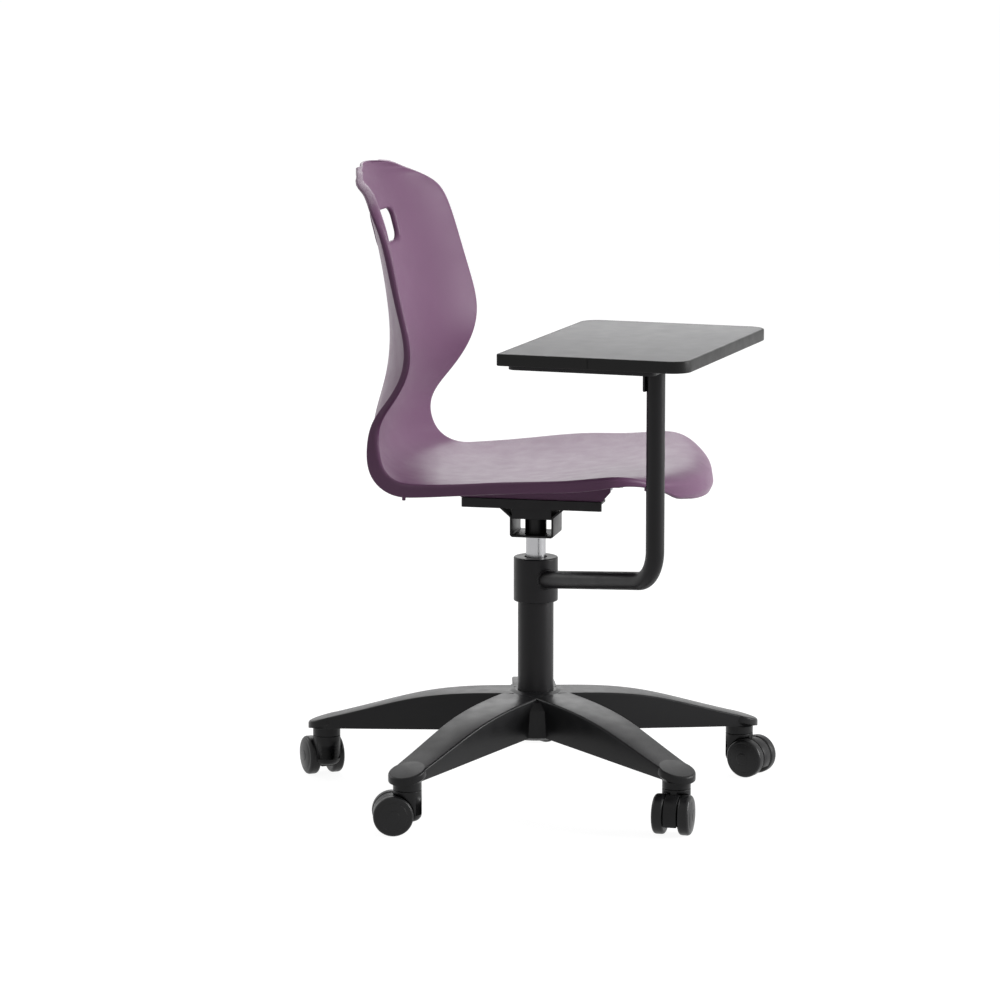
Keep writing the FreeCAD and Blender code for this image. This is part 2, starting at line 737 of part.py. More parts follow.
def shell_section(middle, rim, half, deep, normal):
    """One closed section: the dish is a parabola, and each side turns over into its flange."""
    radius, thick = size("edge_radius"), size("shell_sheet")
    flat = half - radius

    def at(across, centre, down):
        """A point at a distance across, and down along the normal from a centre."""
        return Vector(across, centre.y, centre.z) + normal * down

    def dish(down, flip):
        """The parabola through both rim ends and the middle, as a curve of three poles."""
        pole = middle * 2 - rim
        ends = (at(-flat * flip, rim, down), at(0, pole, down), at(flat * flip, rim, down))
        curve = Part.BezierCurve()
        curve.setPoles(list(ends))
        return curve.toShape()

    def corner(side, inner_radius, down):
        """The quarter round from the dish into the flange."""
        half_turn = math.sqrt(0.5)
        start = at(side * flat, rim, radius - inner_radius)
        mid = at(side * (flat + inner_radius * half_turn), rim, radius - inner_radius * half_turn)
        end = at(side * (flat + inner_radius), rim, radius)
        return start, mid, end

    outer = {side: corner(side, radius, deep) for side in (-1, 1)}
    inner = {side: corner(side, radius - thick, deep) for side in (-1, 1)}
    edges = [dish(0, 1)]
    edges.append(Part.Arc(*outer[1]).toShape())
    edges.append(Part.makeLine(outer[1][2], at(half, rim, deep)))
    edges.append(Part.makeLine(at(half, rim, deep), at(half - thick, rim, deep)))
    edges.append(Part.makeLine(at(half - thick, rim, deep), inner[1][2]))
    edges.append(Part.Arc(*reversed(inner[1])).toShape())
    edges.append(dish(thick, -1))
    edges.append(Part.Arc(*inner[-1]).toShape())
    edges.append(Part.makeLine(inner[-1][2], at(thick - half, rim, deep)))
    edges.append(Part.makeLine(at(thick - half, rim, deep), at(-half, rim, deep)))
    edges.append(Part.makeLine(at(-half, rim, deep), outer[-1][2]))
    edges.append(Part.Arc(*reversed(outer[-1])).toShape())
    return Part.Wire(edges)


def middle_surface(first, last, half, down):
    """A patch of the shell between two stations, to a half width, set down into the sheet."""
    rows = shell_stations()[first:last + 1]
    grid = []
    columns = 7
    for middle, rim, wide, deep, normal in rows:
        line = []
        for column in range(columns):
            across = half * (2 * column / (columns - 1) - 1)
            share = (across / (wide - size("edge_radius"))) ** 2
            point = middle + (rim - middle) * share
            line.append(Vector(across, point.y, point.z) + normal * down)
        grid.append(line)
    surface = Part.BSplineSurface()
    surface.interpolate(grid)
    return surface.toShape()


def stadium(width, height, centre_height, grow):
    """A slot's outline as a face in the upright plane through the axis, grown all round."""
    radius = height / 2 + grow
    straight = width / 2 - height / 2
    top, bottom = centre_height + radius, centre_height - radius
    edges = [Part.makeLine(Vector(-straight, 0, top), Vector(straight, 0, top)),
             Part.Arc(Vector(straight, 0, top), Vector(straight + radius, 0, centre_height),
                      Vector(straight, 0, bottom)).toShape(),
             Part.makeLine(Vector(straight, 0, bottom), Vector(-straight, 0, bottom)),
             Part.Arc(Vector(-straight, 0, bottom), Vector(-straight - radius, 0, centre_height),
                      Vector(-straight, 0, top)).toShape()]
    return Part.Face(Part.Wire(edges))


def long_rib(side):
    """One rib along the seat's underside, with ends that slope out from the plate's ends."""
    low, rise = size("plate_top"), size("rib_slope_height")
    rear, front = size("plate_rear"), size("plate_rear") - size("plate_length")
    rear_out, front_out = size("rib_rear_slope"), size("rib_front_slope")
    high = size("seat_height")
    corners = [(front, low), (rear, low), (rear + rear_out, low + rise),
               (rear + rear_out, high), (front - front_out, high), (front - front_out, low + rise)]
    near = side * (size("plate_width") / 2 - size("rib_inset")) - size("rib_sheet") / 2
    points = [Vector(near, y, z) for y, z in corners]
    return Part.Face(Part.makePolygon(points + points[:1])).extrude(Vector(size("rib_sheet"), 0, 0))


def make_shell():
    """The loft through all stations, with the handle slot and its rim, and the bosses and ribs below."""
    shell = Part.makeLoft([shell_section(*row) for row in shell_stations()], True, False)
    reach = size("back_reach")
    slot = stadium(size("slot_width"), size("slot_height"), size("slot_middle"), 0)
    slot = slot.extrude(Vector(0, 2 * reach, 0))
    rim = stadium(size("slot_width"), size("slot_height"), size("slot_middle"), size("slot_rim"))
    rim = rim.extrude(Vector(0, reach, 0))
    half_sheet = size("shell_sheet") / 2
    front_of_back = middle_surface(19, 23, size("slot_width") * 0.75, half_sheet)
    front_of_back = front_of_back.extrude(Vector(0, -reach, 0))
    rear_of_rim = middle_surface(19, 23, size("slot_width") * 0.75, size("slot_rim_depth"))
    rim = rim.common(rear_of_rim.extrude(Vector(0, -reach, 0))).cut(front_of_back)
    shell = shell.fuse(rim).cut(slot)
    above_seat = middle_surface(5, 12, size("seat_half_width") / 2, half_sheet)
    above_seat = above_seat.extrude(UP * size("seat_height") / 2)
    high = size("seat_height")
    ribs = [long_rib(side) for side in (-1, 1)]
    bosses = [Part.makeCylinder(size("boss_outer") / 2, high - size("plate_top"),
                                place + UP * size("plate_top")) for place in screw_places()]
    below = ribs[0].fuse([ribs[1]] + bosses).cut(above_seat)
    bores = [Part.makeCylinder(size("screw_shank") / 2, size("screw_reach"), place + UP * size("plate_top"))
             for place in screw_places()]
    return shell.fuse(below).cut(bores)


shaped("seat_shell", make_shell())


# Stacking lugs: small pegs on the lower edge of the seat's flange
def rim_place(depth):
    """The flange's lower edge at one place fore and aft on the seat, from the stations on each side."""
    rows = shell_stations()[5:13]
    thick = size("shell_sheet")
    for row, following in zip(rows, rows[1:]):
        if row[1].y <= depth <= following[1].y:
            share = (depth - row[1].y) / (following[1].y - row[1].y)
            ends = [Vector(item[2] - thick / 2, item[1].y, item[1].z) + item[4] * item[3]
                    for item in (row, following)]
            return ends[0] + (ends[1] - ends[0]) * share
    return None


def make_lugs():
    """Four pegs, two on each side."""
    solids = []
    for depth in (-size("lug_front"), size("lug_rear")):
        place = rim_place(depth)
        for side in (-1, 1):
            base = Vector(side * place.x, place.y, place.z - size("lug_height"))
            peg = Part.makeCylinder(size("lug_size") / 2, size("lug_height") + size("lug_size"), base)
            solids.append(peg)
    return Part.makeCompound(solids).cut(document.getObject("seat_shell").Shape)


shaped("stacking_lugs", make_lugs())

# Writing tablet arm: every piece is drawn square to the chair, then turned about the column
ARM_TURN = Placement(ORIGIN, Rotation(UP, size("arm_turn_degrees")))
bush_outer = "collar_bore / 2"
bush_inner = "tube_outer / 2 + running_gap"
collar = turned("arm_collar", [
    ("collar_bore / 2", "collar_bottom"),
    ("collar_outer / 2", "collar_bottom"),
    ("collar_outer / 2", "collar_top"),
    ("collar_lip_bore / 2", "collar_top"),
    ("collar_lip_bore / 2", "tube_top + bush_flange + seat_gap"),
    ("collar_bore / 2", "tube_top + bush_flange + seat_gap"),
])
collar.Placement = ARM_TURN
lower_bush = turned("collar_bush_lower", ring_corners(bush_inner, bush_outer, "collar_bottom",
                                                      "collar_bottom + collar_bush_height"))
upper_bush = turned("collar_bush_upper", ring_corners(bush_inner, bush_outer, "tube_top - collar_bush_height",
                                                      "tube_top"))
lower_bush.Placement = ARM_TURN
upper_bush.Placement = ARM_TURN


def arm_path():
    """The tube's middle line: a rising run out from the collar, a bend, and the upright post."""
    out = Vector(-size("post_side"), -size("post_front"), 0)
    reach = out.Length
    out.normalize()
    start = UP * size("arm_start_height")
    corner = start + out * reach + UP * size("arm_rise")
    top = out * reach + UP * (size("tablet_top") - size("board_sheet") - size("tablet_plate_sheet"))
    inward = (start - corner).normalize()
    half_turn = inward.getAngle(UP) / 2
    back = size("arm_bend") / math.tan(half_turn)
    first = corner + inward * back
    last = corner + UP * back
    centre = corner + (inward + UP).normalize() * (size("arm_bend") / math.sin(half_turn))
    middle = centre + (corner - centre).normalize() * size("arm_bend")
    return Part.Wire([Part.makeLine(start, first), Part.Arc(first, middle, last).toShape(),
                      Part.makeLine(last, top)]), start, (first - start).normalize()


def make_arm():
    """The bent tube, coped to the collar."""
    path, start, along = arm_path()
    outer_radius = size("arm_outer") / 2
    solids = []
    for radius in (outer_radius, outer_radius - size("arm_wall")):
        profile = Part.Wire([Part.makeCircle(radius, start, along)])
        solids.append(path.makePipeShell([profile], True, False))
    cope = Part.makeCylinder(size("collar_outer") / 2, size("collar_top"))
    return solids[0].cut(solids[1]).cut(cope)


shaped("arm_tube", make_arm()).Placement = ARM_TURN


# Tablet: the board with its edge band, and the steel plate that carries it on the post
def tablet_block(inset, low, high):
    """A slab over the tablet's area, set in all round: three round corners and a sharp outer rear one."""
    side, front = size("tablet_outer_side"), size("tablet_front")
    slab = box_between((-side + inset, -front + inset, low),
                       (size("tablet_width") - side - inset, size("tablet_depth") - front - inset, high))
    upright = [edge for edge in slab.Edges if edge.BoundBox.ZLength > (high - low) / 2]
    sharp = [edge for edge in upright if edge.BoundBox.XMax < 0 and edge.BoundBox.YMax > -front / 2]
    blunt = [edge for edge in upright if not any(edge.isSame(other) for other in sharp)]
    slab = slab.makeFillet(size("tablet_corner") - inset, blunt)
    corner = [edge for edge in slab.Edges if edge.BoundBox.ZLength > (high - low) / 2
              and edge.BoundBox.XMax < inset - side + size("running_gap")
              and edge.BoundBox.YMax > size("tablet_depth") - front - inset - size("running_gap")]
    return slab.makeFillet(size("tablet_sharp_corner") - inset, corner)


BOARD_LOW = value("tablet_top - board_sheet")
board = tablet_block(size("edge_band"), BOARD_LOW, size("tablet_top"))
shaped("tablet_board", board).Placement = ARM_TURN


def make_band():
    """The band round the board, a little proud of its faces at the rounded edge."""
    band = tablet_block(0, BOARD_LOW, size("tablet_top"))
    level = [edge for edge in band.Edges if edge.BoundBox.ZLength < size("edge_proud")]
    band = band.makeFillet(size("edge_band") * 0.6, level)
    return band.cut(board)


shaped("tablet_edge_band", make_band()).Placement = ARM_TURN


def plate_area():
    """The corners of the steel plate under the board."""
    left = -size("tablet_outer_side") + size("tablet_plate_inset")
    front = -size("post_front") - size("tablet_plate_front")
    return left, front, left + size("tablet_plate_width"), front + size("tablet_plate_length")


def tablet_screw_places():
    """Six places on the plate, three along each side."""
    left, front, right, rear = plate_area()
    inset = size("tablet_plate_front") / 2
    middle = (front + rear) / 2
    return [Vector(x, y, 0) for x in (left + inset, right - inset)
            for y in (front + inset, middle, rear - inset)]


def make_tablet_plate():
    """The plate with its tab behind the post, and holes for the screws."""
    left, front, right, rear = plate_area()
    low = BOARD_LOW - size("tablet_plate_sheet")
    plate = rounded_block((left, front, low), (right, rear, BOARD_LOW), size("tablet_plate_front") / 2)
    tab_near = -size("post_front") + size("arm_outer") / 2
    half = size("tab_width") / 2
    tab = box_between((-size("post_side") - half, tab_near, low - size("tab_height")),
                      (-size("post_side") + half, tab_near + size("tab_sheet"), low))
    holes = [Part.makeCylinder(size("wood_screw") / 2, size("tablet_plate_sheet"), place + UP * low)
             for place in tablet_screw_places()]
    return plate.cut(holes).fuse(tab)


shaped("tablet_plate", make_tablet_plate()).Placement = ARM_TURN
screw_low = BOARD_LOW - size("tablet_plate_sheet")
tablet_screws = make_screws(tablet_screw_places(), screw_low, size("wood_screw_head"),
                            size("wood_screw_head") / 4, size("wood_screw"), size("wood_screw_reach"))
shaped("tablet_screws", tablet_screws).Placement = ARM_TURN
pilot_holes = [Part.makeCylinder(size("wood_screw") / 2, size("wood_screw_reach"), place + UP * screw_low)
               for place in tablet_screw_places()]
document.getObject("tablet_board").Shape = board.cut(pilot_holes)
document.getObject("tablet_board").Placement = ARM_TURN


# Castors: drawn with the stem on the vertical axis and the wheels trailing along +X
def castor_placement(index):
    """Where one castor stands, turned by its trail."""
    angle = size("leg_first_degrees") + index * 360 / size("leg_count")
    radians = math.radians(angle)
    place = Vector(math.cos(radians), math.sin(radians), 0) * size("castor_radius")
    return Placement(place, Rotation(UP, angle + size("trail_degrees")))


ACROSS = Vector(0, 1, 0)
AXLE = Vector(size("trail"), 0, size("wheel_outer") / 2)


def stem_foot():
    """The thin foot of the stem, held in the web between the wheels."""
    return Part.makeCylinder(size("stem_foot") / 2, size("stem_step") - size("stem_bottom"),
                             Vector(0, 0, size("stem_bottom")))


def make_housing():
    """The upright housing with the web between the wheels, cut clear of both wheels."""
    web_half = size("web_sheet") / 2
    column_high = size("housing_top") - size("housing_bottom")
    column = Part.makeCylinder(size("housing_radius"), column_high, Vector(0, 0, size("housing_bottom")))
    foot = [edge for edge in column.Edges
            if edge.BoundBox.ZMax < size("housing_bottom") + size("running_gap")]
    column = column.makeFillet(size("housing_round"), foot)
    web = Part.makeCylinder(size("web_radius"), size("web_sheet"), AXLE - ACROSS * web_half, ACROSS)
    body = column.fuse(web)
    reach = size("housing_radius") + size("overrun")
    clear = size("wheel_outer") / 2 + size("housing_clearance")
    for side in (-1, 1):
        start = AXLE + ACROSS * side * web_half
        body = body.cut(Part.makeCylinder(clear, reach, start, ACROSS * side))
    stem = Part.makeCylinder(size("stem_size") / 2, size("housing_top"), Vector(0, 0, size("stem_step")))
    axle = Part.makeCylinder(size("axle_size") / 2, 2 * reach, AXLE - ACROSS * reach, ACROSS)
    return body.cut(stem).cut(stem_foot()).cut(axle)


def make_stem():
    """The steel stem with its foot and its collar, up into the leg's boss."""
    pin = Part.makeCylinder(size("stem_size") / 2, size("stem_top") - size("stem_step"),
                            Vector(0, 0, size("stem_step")))
    ring = Part.makeCylinder(size("stem_collar") / 2, size("stem_collar_height"),
                             Vector(0, 0, size("housing_top")))
    tip = [edge for edge in pin.Edges if edge.BoundBox.ZMin > size("stem_top") - size("seat_gap")]
    return pin.makeChamfer(size("stem_size") / 8, tip).fuse(ring).fuse(stem_foot())


def make_wheel(side):
    """One wheel: a rounded tread, a domed outer face and a bore for the axle, turned about the axle."""
    inner = size("web_sheet") / 2 + size("wheel_gap")
    width, radius = size("wheel_width"), size("wheel_outer") / 2
    dome, edge = size("wheel_dome"), size("wheel_edge")
    bore = size("axle_size") / 2 + size("running_gap") / 2
    bore_deep = size("axle_length") / 2 + size("seat_gap")
    soft = edge * 0.9

    def at(from_axle, out):
        """A point of the half section, at a radius and a distance out from the middle."""
        return AXLE + Vector(0, side * out, from_axle)

    half_turn = math.sqrt(0.5)
    face = radius - edge
    ball = (face ** 2 + dome ** 2) / (2 * dome)
    half_sweep = math.asin(face / ball) / 2
    outline_edges = [
        Part.makeLine(at(bore, inner), at(radius - soft, inner)),
        Part.Arc(at(radius - soft, inner),
                 at(radius - soft * (1 - half_turn), inner + soft * (1 - half_turn)),
                 at(radius, inner + soft)).toShape(),
        Part.makeLine(at(radius, inner + soft), at(radius, inner + width - dome - edge)),
        Part.Arc(at(radius, inner + width - dome - edge),
                 at(radius - edge * (1 - half_turn), inner + width - dome - edge * (1 - half_turn)),
                 at(face, inner + width - dome)).toShape(),
        Part.Arc(at(face, inner + width - dome),
                 at(ball * math.sin(half_sweep), inner + width - ball * (1 - math.cos(half_sweep))),
                 at(0, inner + width)).toShape(),
        Part.makeLine(at(0, inner + width), at(0, bore_deep)),
        Part.makeLine(at(0, bore_deep), at(bore, bore_deep)),
        Part.makeLine(at(bore, bore_deep), at(bore, inner)),
    ]
    solid = Part.Face(Part.Wire(outline_edges)).revolve(AXLE, ACROSS, 360)
    return Part.Solid(solid) if solid.ShapeType == "Shell" else solid


housing, stem = make_housing(), make_stem()
wheels = {"left": make_wheel(1), "right": make_wheel(-1)}
for castor in range(int(size("leg_count"))):
    number = castor + 1
    spot = castor_placement(castor)
    shaped(f"castor_housing_{number}", housing).Placement = spot
    shaped(f"castor_stem_{number}", stem).Placement = spot
    for hand, wheel in wheels.items():
        shaped(f"castor_wheel_{hand}_{number}", wheel).Placement = spot
    axle_base = AXLE - ACROSS * (size("axle_length") / 2)
    axle = keep(disc(f"axle_{number}", "axle_size / 2", "axle_length"), f"castor_axle_{number}")
    axle.Placement = spot.multiply(Placement(axle_base, Rotation(UP, ACROSS)))

# Check every object and every sub-part, then write the files
document.recompute()
for item in document.Objects:
    if "Invalid" in item.State or "Error" in item.State:
        raise RuntimeError(f"{item.Label} failed: {item.State}")
for item in SUBPARTS:
    if item.Shape.isNull() or not item.Shape.isValid() or not item.Shape.Solids:
        raise RuntimeError(f"{item.Label} has no valid solid")

os.makedirs("parts", exist_ok=True)
for item in SUBPARTS:
    item.Shape.exportStep(f"parts/{item.Label}.step")
    print(f"{item.Label}: {len(item.Shape.Solids)} solid(s), {item.Shape.Volume / 1000:.1f} cm3")
print(f"{len(SUBPARTS)} sub-parts")
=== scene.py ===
"""Looks of a swivel chair with a writing tablet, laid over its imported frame.

The seat faces -Y, the tablet stands on the -X side, Z is up and the floor is at 0. Shapes are worked
out in millimetres, and a mesh gets them in metres.
"""
import logging
from collections.abc import Sequence
from dataclasses import dataclass, field
from enum import Enum

import bmesh
import bpy
import numpy as np
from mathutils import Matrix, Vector


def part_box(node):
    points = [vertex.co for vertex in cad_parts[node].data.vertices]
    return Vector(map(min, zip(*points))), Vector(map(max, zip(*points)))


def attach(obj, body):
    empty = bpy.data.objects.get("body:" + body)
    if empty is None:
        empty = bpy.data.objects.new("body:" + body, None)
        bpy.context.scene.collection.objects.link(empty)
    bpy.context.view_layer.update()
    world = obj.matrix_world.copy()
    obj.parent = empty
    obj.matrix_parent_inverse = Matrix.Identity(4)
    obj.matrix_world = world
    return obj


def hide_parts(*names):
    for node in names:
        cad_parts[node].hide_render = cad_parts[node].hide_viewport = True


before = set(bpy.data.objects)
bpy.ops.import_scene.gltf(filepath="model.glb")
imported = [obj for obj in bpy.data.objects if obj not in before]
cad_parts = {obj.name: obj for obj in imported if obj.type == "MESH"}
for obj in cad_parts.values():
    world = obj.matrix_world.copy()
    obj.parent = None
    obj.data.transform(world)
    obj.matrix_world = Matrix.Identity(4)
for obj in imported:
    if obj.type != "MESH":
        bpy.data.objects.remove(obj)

MM = 0.001
# In millimetres: how near two points of an outline are one, and the shortest run that is divided by
SAME_POINT, SHORTEST_RUN = 1e-4, 1e-9
WHITE = (1.0, 1.0, 1.0, 1.0)
log = logging.getLogger("chair")


# Surfaces worked out as whole arrays
@dataclass
class Skin:
    """A surface in millimetres.

    Attributes:
        points: the points, one row of x, y and z each.
        faces: each face as a list of point numbers.
    """

    points: np.ndarray
    faces: list[list[int]]

    def turned(self, degrees: float, shift: Sequence[float] = (0.0, 0.0, 0.0)) -> "Skin":
        """The skin turned about the vertical axis, then shifted.

        Args:
            degrees: the turn, counter-clockwise from above.
            shift: how far it moves after the turn.

        Returns:
            The new skin.
        """
        return Skin(turn(self.points, degrees), self.faces).moved(shift)

    def moved(self, shift: Sequence[float]) -> "Skin":
        """The skin shifted."""
        return Skin(self.points + np.asarray(shift), self.faces)


def turn(points: np.ndarray, degrees: float) -> np.ndarray:
    """Points turned about the vertical axis: x' = x cos - y sin, y' = x sin + y cos.

    Args:
        points: the points.
        degrees: the turn, counter-clockwise from above.

    Returns:
        The new points.
    """
    angle = np.radians(degrees)
    matrix = np.array([[np.cos(angle), -np.sin(angle), 0], [np.sin(angle), np.cos(angle), 0], [0, 0, 1]])
    return points @ matrix.T


def joined(parts: Sequence[Skin]) -> Skin:
    """Several skins as one, with each part's face numbers moved up past the points before it.

    Args:
        parts: the skins.

    Returns:
        The one skin.
    """
    starts = np.cumsum([0] + [len(part.points) for part in parts[:-1]])
    faces = [[corner + int(start) for corner in face] for part, start in zip(parts, starts) for face in part.faces]
    return Skin(np.concatenate([part.points for part in parts]), faces)


def grid(points: np.ndarray, around: bool = False, along: bool = False, left_out: np.ndarray | None = None) -> Skin:
    """Faces over a grid of points: each face joins a point to the next column and the next row.

    Args:
        points: the grid, rows by columns by 3.
        around: whether the last column joins the first.
        along: whether the last row joins the first.
        left_out: True for each face, by row and column, that is an opening.

    Returns:
        The skin over the grid.
    """
    rows, columns = points.shape[:2]
    number = np.arange(rows * columns).reshape(rows, columns)
    if around:
        number = np.concatenate([number, number[:, :1]], axis=1)
    if along:
        number = np.concatenate([number, number[:1]], axis=0)
    quads = np.stack([number[:-1, :-1], number[:-1, 1:], number[1:, 1:], number[1:, :-1]], axis=-1)
    chosen = quads.reshape(-1, 4) if left_out is None else quads[~left_out]
    return Skin(points.reshape(-1, 3), chosen.tolist())


def fillet(corners: Sequence[Sequence[float]], radii: float | Sequence[float], closed: bool = True,
           steps: int = 6) -> np.ndarray:
    """A flat outline with round corners.

    Each corner is cut back by radius x tan(turn / 2) along both of its runs, and the cut is bridged by
    the exact arc ((1-u)^2 A + 2 w u (1-u) B + u^2 C) / ((1-u)^2 + 2 w u (1-u) + u^2), with w = cos(turn / 2).

    Args:
        corners: the corners in order.
        radii: one radius, or one for each corner.
        closed: whether the last corner joins the first; else the two ends stay as they are.
        steps: the runs in each arc.

    Returns:
        The outline's points, two columns.
    """
    corner = np.asarray(corners, float)
    radius = np.broadcast_to(np.asarray(radii, float), (len(corner),)).copy()
    if not closed:
        radius[[0, -1]] = 0.0
    into = corner - np.roll(corner, 1, axis=0)
    out = np.roll(corner, -1, axis=0) - corner
    into /= np.maximum(np.linalg.norm(into, axis=1, keepdims=True), SHORTEST_RUN)
    out /= np.maximum(np.linalg.norm(out, axis=1, keepdims=True), SHORTEST_RUN)
    half = np.arccos(np.clip((into * out).sum(axis=1), -0.999, 1.0)) / 2
    back = (radius * np.tan(half))[:, None]
    first, last, weight = corner - into * back, corner + out * back, np.cos(half)[:, None, None]
    u = np.linspace(0, 1, steps + 1)[None, :, None]
    scale = (1 - u) ** 2 + 2 * weight * u * (1 - u) + u ** 2
    arcs = ((1 - u) ** 2 * first[:, None] + 2 * weight * u * (1 - u) * corner[:, None] + u ** 2 * last[:, None]) / scale
    path = arcs.reshape(-1, 2)
    nearby = np.linalg.norm(path - np.roll(path, 1, axis=0), axis=1) < SAME_POINT
    if not closed:
        nearby[0] = False
    return path[~nearby]


def inset(outline: np.ndarray, distance: float | np.ndarray) -> np.ndarray:
    """A closed outline moved inwards: each point goes along (n1 + n2) / (1 + n1.n2), its two runs' inward normals.

    Args:
        outline: the points, counter-clockwise.
        distance: how far each point's runs move in.

    Returns:
        The new points.
    """
    run = np.roll(outline, -1, axis=0) - outline
    run /= np.linalg.norm(run, axis=1, keepdims=True)
    after = np.stack([-run[:, 1], run[:, 0]], axis=1)
    before = np.roll(after, 1, axis=0)
    miter = (before + after) / (1 + (before * after).sum(axis=1, keepdims=True))
    return outline + miter * np.broadcast_to(np.asarray(distance, float), (len(outline),))[:, None]


def laid(points: np.ndarray, axes: str) -> np.ndarray:
    """Points with their columns laid on the named axes, such as YZX for an outline in YZ carried along X.

    Args:
        points: the points, in any array whose last axis has three columns.
        axes: the axis of each column.

    Returns:
        The points in the order x, y, z.
    """
    out = np.empty_like(points)
    out[..., ["XYZ".index(axis) for axis in axes]] = points
    return out


def prism(outline: np.ndarray, low: float, high: float, edge: float = 0.0, axes: str = "XYZ") -> Skin:
    """An outline carried from low to high, with its end edges rounded by a quarter circle.

    At an angle a round the edge the outline is set in by edge x (1 - sin a) at a height of
    edge x (1 - cos a) from the end.

    Args:
        outline: the points, counter-clockwise.
        low: where it starts along the third axis.
        high: where it ends.
        edge: the rounding.
        axes: the axes that the outline's two columns and the height are laid on.

    Returns:
        The skin, open at its two flat ends, which the workshop fills.
    """
    angle = np.linspace(0, np.pi / 2, 4) if edge else np.array([np.pi / 2])
    sets, rises = edge * (1 - np.sin(angle)), edge * (1 - np.cos(angle))
    sets, heights = np.concatenate([sets, sets[::-1]]), np.concatenate([low + rises, (high - rises)[::-1]])
    rows = [np.column_stack([inset(outline, s), np.full(len(outline), h)]) for s, h in zip(sets, heights)]
    return grid(laid(np.stack(rows), axes), around=True)


def lathe(profile: np.ndarray, segments: int = 72, closed: bool = False) -> Skin:
    """A profile of radius and height turned about the vertical axis: x = r cos a, y = r sin a, z = height.

    Args:
        profile: the points, radius then height.
        segments: the runs round the axis.
        closed: whether the profile is a closed ring section.

    Returns:
        The skin.
    """
    angle = np.linspace(0, 2 * np.pi, segments, endpoint=False)[None, :]
    radius, height = profile[:, :1], profile[:, 1:]
    points = np.stack([radius * np.cos(angle), radius * np.sin(angle), height + 0 * angle], axis=-1)
    return grid(points, around=True, along=closed)


def tube(path: np.ndarray, radius: float, across: np.ndarray, sides: int = 48) -> Skin:
    """A circle carried along a path that lies in one plane: path + radius (cos a across + sin a up).

    Args:
        path: the middle line.
        radius: the circle's radius.
        across: the unit normal of the path's plane.
        sides: the runs round the circle.

    Returns:
        The skin.
    """
    run = np.gradient(path, axis=0)
    run /= np.linalg.norm(run, axis=1, keepdims=True)
    up = np.cross(across, run)[:, None]
    angle = np.linspace(0, 2 * np.pi, sides, endpoint=False)[None, :, None]
    return grid(path[:, None] + radius * (np.cos(angle) * across + np.sin(angle) * up), around=True)


def bead(path: np.ndarray, first: np.ndarray, second: np.ndarray, radius: float, ripples: int) -> Skin:
    """A weld bead: a circle round a closed path, whose radius swells by a tenth with each ripple.

    Args:
        path: the closed line that the bead follows.
        first: one unit direction across it at each point.
        second: the other one.
        radius: the bead's radius.
        ripples: how many swells there are on the way round.

    Returns:
        The skin.
    """
    share = np.linspace(0, 2 * np.pi, len(path), endpoint=False)
    size = (radius * (1 + 0.1 * np.abs(np.sin(share * ripples / 2))))[:, None, None]
    angle = np.linspace(0, 2 * np.pi, 10, endpoint=False)[None, :, None]
    ring = np.cos(angle) * first[:, None] + np.sin(angle) * second[:, None]
    return grid(path[:, None] + size * ring, around=True, along=True)


def spline(knots: np.ndarray, values: np.ndarray, at: np.ndarray) -> np.ndarray:
    """A natural cubic spline through rows of values.

    Its bends M at the knots solve h0 M0 + 2 (h0 + h1) M1 + h1 M2 = 6 x (change of slope), with none at the
    ends. Between two knots it is a A + b B + ((a^3 - a) MA + (b^3 - b) MB) h^2 / 6, with b the share of the way.

    Args:
        knots: the places of the rows, rising.
        values: the rows.
        at: the places that are asked for.

    Returns:
        One row for each place.
    """
    step = np.diff(knots)
    count = len(knots)
    inner = np.arange(1, count - 1)
    system = np.eye(count)
    system[inner, inner - 1] = step[:-1]
    system[inner, inner] = 2 * (step[:-1] + step[1:])
    system[inner, inner + 1] = step[1:]
    right = np.zeros_like(values)
    right[1:-1] = 6 * np.diff(np.diff(values, axis=0) / step[:, None], axis=0)
    bend = np.linalg.solve(system, right)
    place = np.clip(np.searchsorted(knots, at) - 1, 0, count - 2)
    high = ((at - knots[place]) / step[place])[:, None]
    low = 1 - high
    curve = (low ** 3 - low) * bend[place] + (high ** 3 - high) * bend[place + 1]
    return low * values[place] + high * values[place + 1] + curve * step[place][:, None] ** 2 / 6


# Finishes
class Grain(Enum):
    """The small relief of a finish."""

    LEATHERED = "flat cells of a leathered mould"
    SPARKED = "fine even mould grain"
    SPRAYED = "slow ripple of sprayed paint"
    BRUSHED = "long fine scratches"
    PRESSED = "fine pressed stipple of laminate"


# The colour that an edge wears to, and how many patches of drift, scuffs and wear there are to a metre
PALE_EDGE = (150, 150, 152)
DRIFT_SCALE, SCUFF_SCALE, WEAR_SCALE = 7.0, 45.0, 60.0


def linear(colour: Sequence[float]) -> tuple[float, float, float, float]:
    """A screen colour of 0 to 255 as light: ((c + 0.055) / 1.055) ^ 2.4, or c / 12.92 in the darkest part.

    Args:
        colour: its red, green and blue.

    Returns:
        The colour as a socket takes it, with 1 for its alpha.
    """
    share = np.asarray(colour, float) / 255
    light = np.where(share > 0.04045, ((share + 0.055) / 1.055) ** 2.4, share / 12.92)
    return (*[float(value) for value in light], 1.0)


